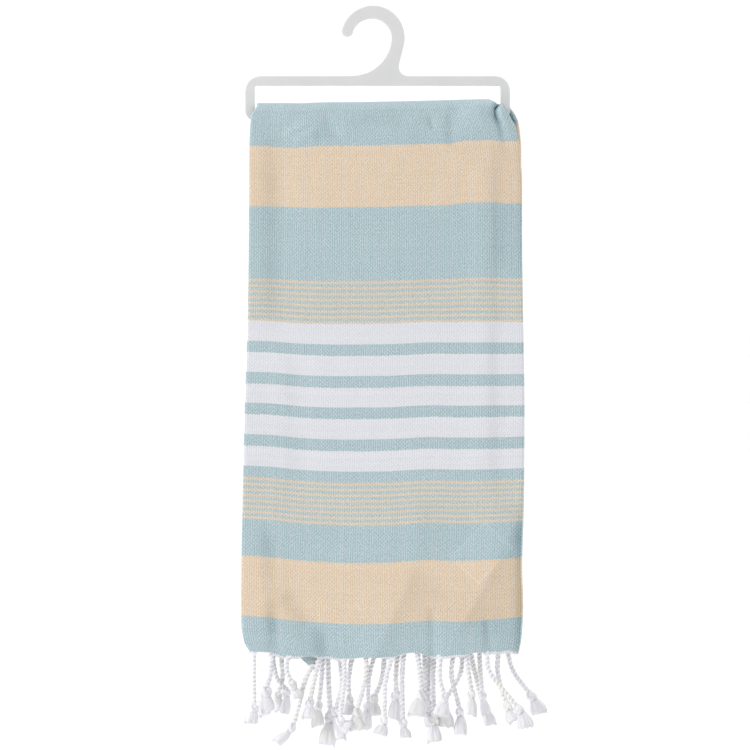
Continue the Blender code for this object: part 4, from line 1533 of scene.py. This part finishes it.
@dataclass
class Fringe:
    """The fringe under one hem: twisted cords, each knotted and flared into a tuft."""

    name: str
    side: Side
    cords: tuple[Cord, ...]
    shape: FoldedSheet
    seed: int

    # Any way round, in radians, and any phase of a slow change.
    any_turn: Pair = (0.0, 6.28)
    any_phase: Pair = (0.0, 6.0)

    # The cords' plies: how many, how thick, how far from the middle, and one turn's length.
    plies: int = 2
    ply_radius: float = 1.14
    ply_offset: float = 0.72
    twist_pitch: float = 5.8
    pitch_spread: Pair = (0.9, 1.1)
    lobe_points: int = 6
    rings: int = 96

    # Where a cord leaves the heading: how far up it starts, where it is full and how flat it is.
    root_up: float = 0.6
    root_full: float = 4.4
    root_wide: float = 1.25
    root_deep: float = 0.13
    bend_share: float = 0.6

    # How far a cord wanders, and its girth's change; each with its pace in radians a millimetre.
    wobble: float = 0.12
    wobble_pace: Pair = (0.5, 0.9)
    swell: float = 0.05
    swell_pace: float = 0.7

    # The knots: their middle, a place before and one after, their sizes, and how uneven they are.
    knot_places: Triple = (2.04, 1.85, 2.15)
    knot_radius: float = 2.0
    knot_height: float = 1.5
    knot_cord: float = 1.28
    knot_ridge: float = 0.13
    knot_start: Pair = (0.0, 2.0)
    knot_spread: Pair = (0.95, 1.12)
    knot_flat: Pair = (0.82, 1.0)
    knot_tilt: float = 0.35
    knot_rings: int = 54
    knot_sides: int = 9

    # The tufts: where they start on the route, their sizes, and how uneven they are.
    tuft_from: float = 2.17
    tuft_across: float = 4.4
    tuft_through: float = 2.9
    across_spread: Pair = (0.72, 1.28)
    through_spread: Pair = (0.85, 1.15)
    tuft_slant: float = 0.16

    # How far out a tuft reaches at first and in the end, and how fast it gets there.
    reach_first: float = 0.42
    reach_last: float = 0.58
    reach_pace: float = 1.3
    reach_end: float = 1.2

    # The bells: each flute's depth, how many there are and how they lean, and the closed end.
    flutes: tuple[Triple, ...] = ((0.05, 5.0, 0.0), (0.05, 9.0, 0.0), (0.03, 3.0, 2.0))
    flute_first: float = 0.4
    core_rings: int = 12
    core_sides: int = 26
    core_share: float = 0.97
    core_close: Pair = (0.93, 1.0)

    # The strands: their number and girth, where they stand, their waves and how uneven they are.
    strands: int = 40
    strand_rings: int = 8
    strand_sides: int = 5
    strand_radius: float = 0.34
    strand_taper: float = 0.2
    strand_wave: float = 0.16
    wave_pace: float = 5.0
    golden_angle: float = 2.39996
    spot_first: float = 0.55
    spot_last: float = 0.45
    length_spread: Pair = (-0.10, 0.09)
    girth_spread: Pair = (0.8, 1.15)

    def __post_init__(self) -> None:
        """Work out the cords' girths, as one column, and their routes."""
        self.girths = np.array([cord.girth for cord in self.cords])[:, None]
        self.routes = self.find_routes()

    def find_routes(self) -> Array:
        """Each cord's root, bend, knot and end.

        Returns:
            The points, as cords by 4 by 3.
        """
        shape = self.shape
        fall = shape.front_fall if self.side is Side.FRONT else shape.back_fall
        along = np.array(shape.along(fall, self.side))
        left, right, _, gap = ROWS.read(along)
        selvage = left + (right - left) * (1.0 - shape.third_reach) + shape.swung(along)
        routes = []
        for cord in self.cords:
            depth = shape.sheet / 2.0 + cord.layer * (shape.sheet + gap)
            at = Spots(np.array(cord.root), depth, along)
            droop = shape.drooped(at, selvage) if cord.layer == 2 else 0.0
            root = shape.point(at, droop - self.root_up - shape.hem_lift(at) - shape.raised(at))
            knot_y = self.side.value * cord.out
            bend_y = root[1] + self.bend_share * (knot_y - root[1])
            routes.append((root, (cord.bend_x, bend_y, cord.bend_z),
                           (cord.knot_x, knot_y, cord.knot_z), (cord.end_x, knot_y, cord.end_z)))
        return np.array(routes, float)

    @staticmethod
    def curve(routes: Array, places: Array) -> Array:
        """Points on the smooth curves through routes.

        Each stretch is the cubic through its two points whose slopes are half the distance
        between the points before and after.

        Args:
            routes: cords by points by 3.
            places: places on them, counted in points.

        Returns:
            The points, as cords by places by 3.
        """
        first = 2.0 * routes[:, :1] - routes[:, 1:2]
        last = 2.0 * routes[:, -1:] - routes[:, -2:-1]
        points = np.concatenate((first, routes, last), axis=1)
        span = np.minimum(places.astype(int), routes.shape[1] - 2)
        t = (places - span)[None, :, None]
        a, b, c, d = (points[:, span + k] for k in range(4))
        return (2.0 * b + (c - a) * t + (2.0 * a - 5.0 * b + 4.0 * c - d) * t * t
                + (3.0 * b - a - 3.0 * c + d) * t ** 3) / 2.0

    def even_curve(self, start: float, end: float, count: int) -> Array:
        """Points at equal distances along each route.

        Args:
            start: the first point's place on the route.
            end: the last point's place on it.
            count: how many points.

        Returns:
            The points, as cords by points by 3.
        """
        places = np.linspace(start, end, 160)
        share = np.linspace(0.0, 1.0, count)
        even = [np.interp(share * run[-1], run, places)
                for run in distance_run(self.curve(self.routes, places))]
        return np.concatenate([self.curve(route[None], at) for route, at in zip(self.routes, even)])

    @staticmethod
    def directions(ahead: Array) -> tuple[Array, Array, Array]:
        """Directions at points of the cords.

        Args:
            ahead: the way ahead along the cords, of any length.

        Returns:
            Directions along the cord, and across and through the fringe.
        """
        along = unit(ahead)
        across = unit(np.cross(along, (0.0, 1.0, 0.0)))
        return along, across, np.cross(across, along)

    def twisted(self, random: np.random.Generator) -> Patch:
        """The cords themselves.

        A cord's section is overlapping circles, one for each ply, which turn once in each twist
        pitch. At the root the section is flat and wide, where it leaves the heading.

        Args:
            random: where their unevenness comes from.

        Returns:
            Their surface.
        """
        count = len(self.cords)
        path = self.even_curve(0.0, 2.0, self.rings)
        run = distance_run(path)
        path[..., :2] += random.uniform(-self.wobble, self.wobble, (count, 1, 2)) * np.sin(
            run[..., None] * random.uniform(*self.wobble_pace, (count, 1, 2))
            + random.uniform(*self.any_phase, (count, 1, 2)))

        part = math.pi / self.plies
        opening = part + math.asin(self.ply_offset / self.ply_radius * math.sin(part))
        lobe = np.linspace(-opening, opening, self.lobe_points + 1)[:-1]
        x, y = turned(self.ply_offset + self.ply_radius * np.cos(lobe),
                      self.ply_radius * np.sin(lobe), circle(self.plies)[:, None])
        pitch = self.twist_pitch * random.uniform(*self.pitch_spread, (count, 1))
        turn = TURN * run / pitch + random.uniform(*self.any_turn, (count, 1))
        phase = random.uniform(*self.any_phase, (count, 1))
        girth = self.girths * (1.0 + self.swell * np.sin(run * self.swell_pace + phase))
        a, b = turned(x.ravel(), y.ravel(), turn[..., None])
        opened = smooth_step(run, self.root_up, self.root_full)
        across = girth * (self.root_wide + (1.0 - self.root_wide) * opened)
        through = girth * (self.root_deep + (1.0 - self.root_deep) * opened)
        section = np.stack((a * across[..., None], b * through[..., None]), axis=-1)
        return tube_patch(path, (1.0, 0.0, 0.0), section)

    def knots(self, random: np.random.Generator) -> Patch:
        """The knots.

        A knot's path is the three-lobed closed knot, whose place across and through is the sum
        of one turn and twice a double turn, and whose height is the sine of a triple turn.

        Args:
            random: how each is turned.

        Returns:
            Their surface.
        """
        count = len(self.cords)
        centre, before, after = (self.curve(self.routes, np.array([place]))
                                 for place in self.knot_places)
        along, across, through = self.directions(after - before)
        t = circle(self.knot_rings) + random.uniform(*self.knot_start, (count, 1))
        spin = random.uniform(*self.any_turn, (count, 1))
        size = self.girths * random.uniform(*self.knot_spread, (count, 1))
        a, b = turned((np.sin(t) + 2.0 * np.sin(2.0 * t)) / 3.0,
                      (np.cos(t) - 2.0 * np.cos(2.0 * t)) / 3.0, spin)
        a = a * self.knot_radius * size
        b = b * self.knot_radius * size * random.uniform(*self.knot_flat, (count, 1))
        tilt = random.uniform(-self.knot_tilt, self.knot_tilt, (count, 1))
        h = a * tilt - np.sin(3.0 * t) * self.knot_height * size
        path = centre + a[..., None] * across + b[..., None] * through + h[..., None] * along
        around = circle(self.knot_sides)
        ridge = 1.0 + self.knot_ridge * np.cos(2.0 * around + 9.0 * t[..., None])
        radius = self.knot_cord * size[..., None] * ridge
        return tube_patch(path, along, oval(radius, radius, around), True)

    def tuft_lines(self, rings: int) -> tuple[Array, Array, Array, Array]:
        """The tufts' middle lines, and the three directions along them."""
        line = self.curve(self.routes, np.linspace(self.tuft_from, 3.0, rings))
        return line, *self.directions(np.gradient(line, axis=1))

    def reach(self, share: Array) -> Array:
        """How far out a tuft reaches at a share of its length: it grows as a sine does."""
        way = np.clip(self.reach_pace * share, 0.0, self.reach_end)
        return self.reach_first + self.reach_last * np.sin(0.5 * math.pi * way)

    def bells(self, wide: Array, deep: Array, random: np.random.Generator) -> Patch:
        """The tufts' bells of packed yarn, fluted by sines round them.

        Args:
            wide: their sizes across, as one column.
            deep: their sizes through, as one column.
            random: how uneven they are.

        Returns:
            Their surface.
        """
        line, _, across, _ = self.tuft_lines(self.core_rings)
        share = np.linspace(0.0, 1.0, self.core_rings)[:, None]
        around = circle(self.core_sides)
        phases = random.uniform(*self.any_turn, (len(self.flutes), len(self.cords), 1, 1))
        flutes = sum(depth * np.sin(number * around + phase + lean * share)
                     for (depth, number, lean), phase in zip(self.flutes, phases))
        radius = self.reach(share) * (1.0 + flutes * (self.flute_first + share)) * self.core_share
        radius = radius * (1.0 - 0.5 * smooth_step(share, *self.core_close))
        return tube_patch(line, across,
                          oval(wide[..., None] * radius, deep[..., None] * radius, around))

    def loose_ends(self, wide: Array, deep: Array, slant: Array, random: np.random.Generator) -> Patch:
        """The strands round the bells.

        They start in a spiral over the knot's lower side, wave a little and end unevenly.

        Args:
            wide: the tufts' sizes across, as one column.
            deep: their sizes through, as one column.
            slant: how much longer they are at one side, as one column.
            random: how uneven they are.

        Returns:
            Their surface.
        """
        count, strands = len(self.cords), self.strands
        line, *directions = self.tuft_lines(self.strand_rings)
        share = np.linspace(0.0, 1.0, self.strand_rings)
        number = np.arange(strands)
        spot = np.sqrt(self.spot_first + self.spot_last * (number + 0.5) / strands)
        angle = number * self.golden_angle + random.uniform(*self.any_turn, (count, 1))
        uneven = random.uniform(*self.length_spread, (count, strands))
        length = 1.0 + slant * spot * np.cos(angle) + uneven
        s = share * length[..., None]
        phase = random.uniform(*self.any_turn, (count, strands, 1))
        wave = self.strand_wave * s * np.sin(self.wave_pace * s + phase)
        a = (wide * spot * np.cos(angle))[..., None] * self.reach(s) + wave
        b = (deep * spot * np.sin(angle))[..., None] * self.reach(s) + wave
        past = np.maximum(s - 1.0, 0.0) * np.linalg.norm(line[:, -1] - line[:, 0], axis=-1)[:, None, None]

        place = np.clip(s, 0.0, 1.0) * (self.strand_rings - 1)
        low = np.minimum(place.astype(int), self.strand_rings - 2)
        part = (place - low)[..., None]
        cord = np.arange(count)[:, None, None]

        def follow(values: Array) -> Array:
            """Values along the tufts' middle lines, read at each strand's own places."""
            return values[cord, low] * (1.0 - part) + values[cord, low + 1] * part

        path = follow(line) + sum(out[..., None] * follow(direction)
                                  for out, direction in zip((past, a, b), directions))
        girth = random.uniform(*self.girth_spread, (count * strands, 1, 1))
        taper = self.strand_radius * (1.0 - self.strand_taper * share)[:, None] * girth
        return tube_patch(path.reshape(count * strands, -1, 3), (0.3, 1.0, 0.1),
                          oval(taper, taper, circle(self.strand_sides)))

    def build(self, material: Material) -> Item:
        """Make the fringe as one object.

        Args:
            material: the cords' material.

        Returns:
            The fringe's object.
        """
        random = np.random.default_rng(self.seed)
        column = (len(self.cords), 1)
        twisted, knots = self.twisted(random), self.knots(random)
        wide = self.tuft_across * self.girths * random.uniform(*self.across_spread, column)
        deep = self.tuft_through * self.girths * random.uniform(*self.through_spread, column)
        slant = random.uniform(-self.tuft_slant, self.tuft_slant, column)
        bells = self.bells(wide, deep, random)
        patches = [twisted, knots, bells, self.loose_ends(wide, deep, slant, random)]
        loose = np.repeat((0.0, 0.0, 1.0, 1.0), [len(patch.points) for patch in patches])
        return Patch.joined(patches).to_object(self.name, material, loose=loose)


@dataclass
class CareLabel:
    """A plain label between the front layer and the second, seen only faintly through the cloth."""

    shape: FoldedSheet
    centre: Pair = (71.2, -347.2)
    size: Pair = (26.0, 32.0)
    turn: float = 44.0
    thick: float = 0.3
    space: float = 0.4
    cells: int = 12
    cloth_centre: Pair = (0.0, 0.0)

    def build(self, material: Material) -> Item:
        """Make the label: a thin closed plate that follows the inside of the front layer.

        Args:
            material: the tape's material.

        Returns:
            The label's object.
        """
        cells = np.linspace(-0.5, 0.5, self.cells + 1)
        u, v = np.meshgrid(cells * self.size[0], cells * self.size[1], indexing="ij")
        x, z = turned(u, v, math.radians(self.turn))
        x, z = self.centre[0] + x, self.centre[1] + z
        along = -(self.shape.crest - z - BEND + QUARTER)
        inner, outer = (self.shape.point(Spots(x, self.shape.sheet + self.space + deep, along))
                        for deep in (self.thick, 0.0))
        inner[..., 2] = outer[..., 2] = z
        uv = np.stack((u, v), axis=-1) * MM
        return plate_patch(inner, outer, uv).to_object("care_label_tape", material)


@dataclass
class Hanger:
    """The hanger, whose own moulded shape is right and only gets its finish."""

    node: Item

    def dress(self, material: Material) -> None:
        """Give the hanger its material."""
        self.node.data.materials.clear()
        self.node.data.materials.append(material)


@dataclass
class Studio:
    """A pale sweep behind and under the object, soft lights and a long lens, in metres."""

    low: Vector
    high: Vector
    margin: float = 1.0098
    shift: Pair = (-0.0118, 0.0007)
    distance: float = 2.2
    front: float = -0.006
    sensor: float = 36.0
    floor_drop: float = 0.16
    floor_front: float = -3.0
    floor_flat: float = -1.0
    floor_sides: Pair = (-3.0, 3.0)
    wall_back: float = 0.75
    wall_up: float = 3.2
    sweep: float = 0.35
    sky: Triple = (0.98, 0.99, 1.0)
    sky_light: float = 0.42
    sky_seen: float = 0.56

    def camera(self) -> Item:
        """Make the camera, level with the object's middle and square to it.

        Returns:
            The camera.
        """
        size = (self.high.z - self.low.z) * self.margin
        centre = (self.low + self.high) / 2.0
        data = bpy.data.cameras.new("camera")
        data.sensor_width = self.sensor
        data.lens = self.sensor * self.distance / size
        item = new_item("camera", data)
        item.location = (centre.x + self.shift[0], self.front - self.distance,
                         centre.z + self.shift[1])
        item.rotation_euler = (math.pi / 2.0, 0.0, 0.0)
        bpy.context.scene.camera = item
        return item

    def backdrop(self) -> Item:
        """Make the floor and wall as one sheet whose corner is a quarter circle.

        It can be seen through from behind.

        Returns:
            The backdrop.
        """
        floor, sweep = self.low.z - self.floor_drop, self.sweep
        turn = np.linspace(0.0, math.pi / 2.0, 24)
        corner = self.wall_back - sweep + sweep * np.sin(turn)
        rise = floor + sweep - sweep * np.cos(turn)
        y = np.concatenate(([self.floor_front, self.floor_flat], corner, [self.wall_back]))
        z = np.concatenate(([floor, floor], rise, [floor + self.wall_up]))
        points = np.stack(np.broadcast_arrays(self.floor_sides, y[:, None], z[:, None]), axis=-1)
        quads, places = grid_faces(len(y), 2)
        uv = points[..., :2].reshape(-1, 2)
        g = Look("pale paper", (0.90, 0.90, 0.90), 0.9)
        tone = g.noise(g.place(), 3.0) * 0.01 + 0.895
        g.feed(Base_Color=g.vector(tone, tone, tone))
        paper = {0: g.add("NewGeometry", {}, "Backfacing"), 1: Wire(g, g.shader.outputs[0]),
                 2: g.add("BsdfTransparent", {})}
        g.put(g.tree.nodes["Material Output"].inputs["Surface"], g.add("MixShader", paper))
        item = Patch(points.reshape(-1, 3) / MM, [(quads, uv[places])]).to_object("backdrop", g.material)
        item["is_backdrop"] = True
        return item

    def light(self, name: str, place: Triple, target: Triple, size: Pair, power: float) -> Item:
        """Make one soft light.

        Args:
            name: its name.
            place: where it is.
            target: what it points at.
            size: its width and height.
            power: its power in watts.

        Returns:
            The light.
        """
        data = bpy.data.lights.new(name, "AREA")
        data.shape = "RECTANGLE"
        data.size, data.size_y = size
        data.energy = power
        item = new_item(name, data)
        item.location = place
        item.rotation_euler = (Vector(target) - Vector(place)).to_track_quat("-Z", "Y").to_euler()
        return item

    def lights(self) -> None:
        """Make the lights: a broad one high on the left, a weak one on the right, two on the wall."""
        middle = (0.0, 0.0, (self.low.z + self.high.z) / 2.0)
        self.light("key", (-1.9, -1.3, 0.9), middle, (0.9, 0.9), 31.0)
        self.light("fill", (1.3, -1.9, -0.5), middle, (1.2, 1.2), 7.5)
        for name, x in (("wall_left", -1.3), ("wall_right", 1.3)):
            self.light(name, (x, 0.1, 0.9), (0.0, self.wall_back, -0.3), (0.6, 1.4), 11.0)
        world = bpy.data.worlds.new("studio")
        bpy.context.scene.world = world
        world.use_nodes = True
        g = Graph(world.node_tree)
        sky = world.node_tree.nodes["Background"]
        seen = g.add("LightPath", {}, "Is Camera Ray")
        g.put(sky.inputs["Color"], self.sky)
        g.put(sky.inputs["Strength"], seen * self.sky_seen + self.sky_light)

    def build(self) -> None:
        """Make the camera, the backdrop and the lights, with colours shown as they are."""
        view = bpy.context.scene.view_settings
        view.view_transform = "Standard"
        view.look = "None"
        self.camera()
        self.backdrop()
        self.lights()


def settle(item: Item, node: str) -> None:
    """Let a piece ride on the body and stand for its CAD node.

    Args:
        item: the piece.
        node: the node it stands for.
    """
    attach(item, BODY)
    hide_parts(node)
    log.info("%s: %d faces", item.name, len(item.data.polygons))


def main() -> None:
    """Build the object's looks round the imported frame."""
    logging.basicConfig(level=logging.INFO, format="%(name)s: %(message)s")
    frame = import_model()
    cad_low, cad_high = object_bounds()

    effects = Effects()
    shape = FoldedSheet()
    label = CareLabel(shape)
    towel = Towel(shape)
    Hanger(frame["nodes"]["hanger"]).dress(PlasticFinish().build())
    label.cloth_centre = towel.own_place(*label.centre)

    cloth = towel.build(TowelFinish().build(effects, label))
    settle(cloth, "towel")
    cord = CordFinish().build(effects)
    front = Fringe("fringe_front_cords", Side.FRONT, FRONT_CORDS, shape, 7).build(cord)
    settle(front, "fringe_front")
    back = Fringe("fringe_back_cords", Side.BACK, BACK_CORDS, shape, 11).build(cord)
    settle(back, "fringe_back")
    tape = label.build(TapeFinish().build(effects))
    settle(tape, "care_label")

    towel.flat_size()

    Studio(cad_low, cad_high).build()


if __name__ == "__main__":
    main()
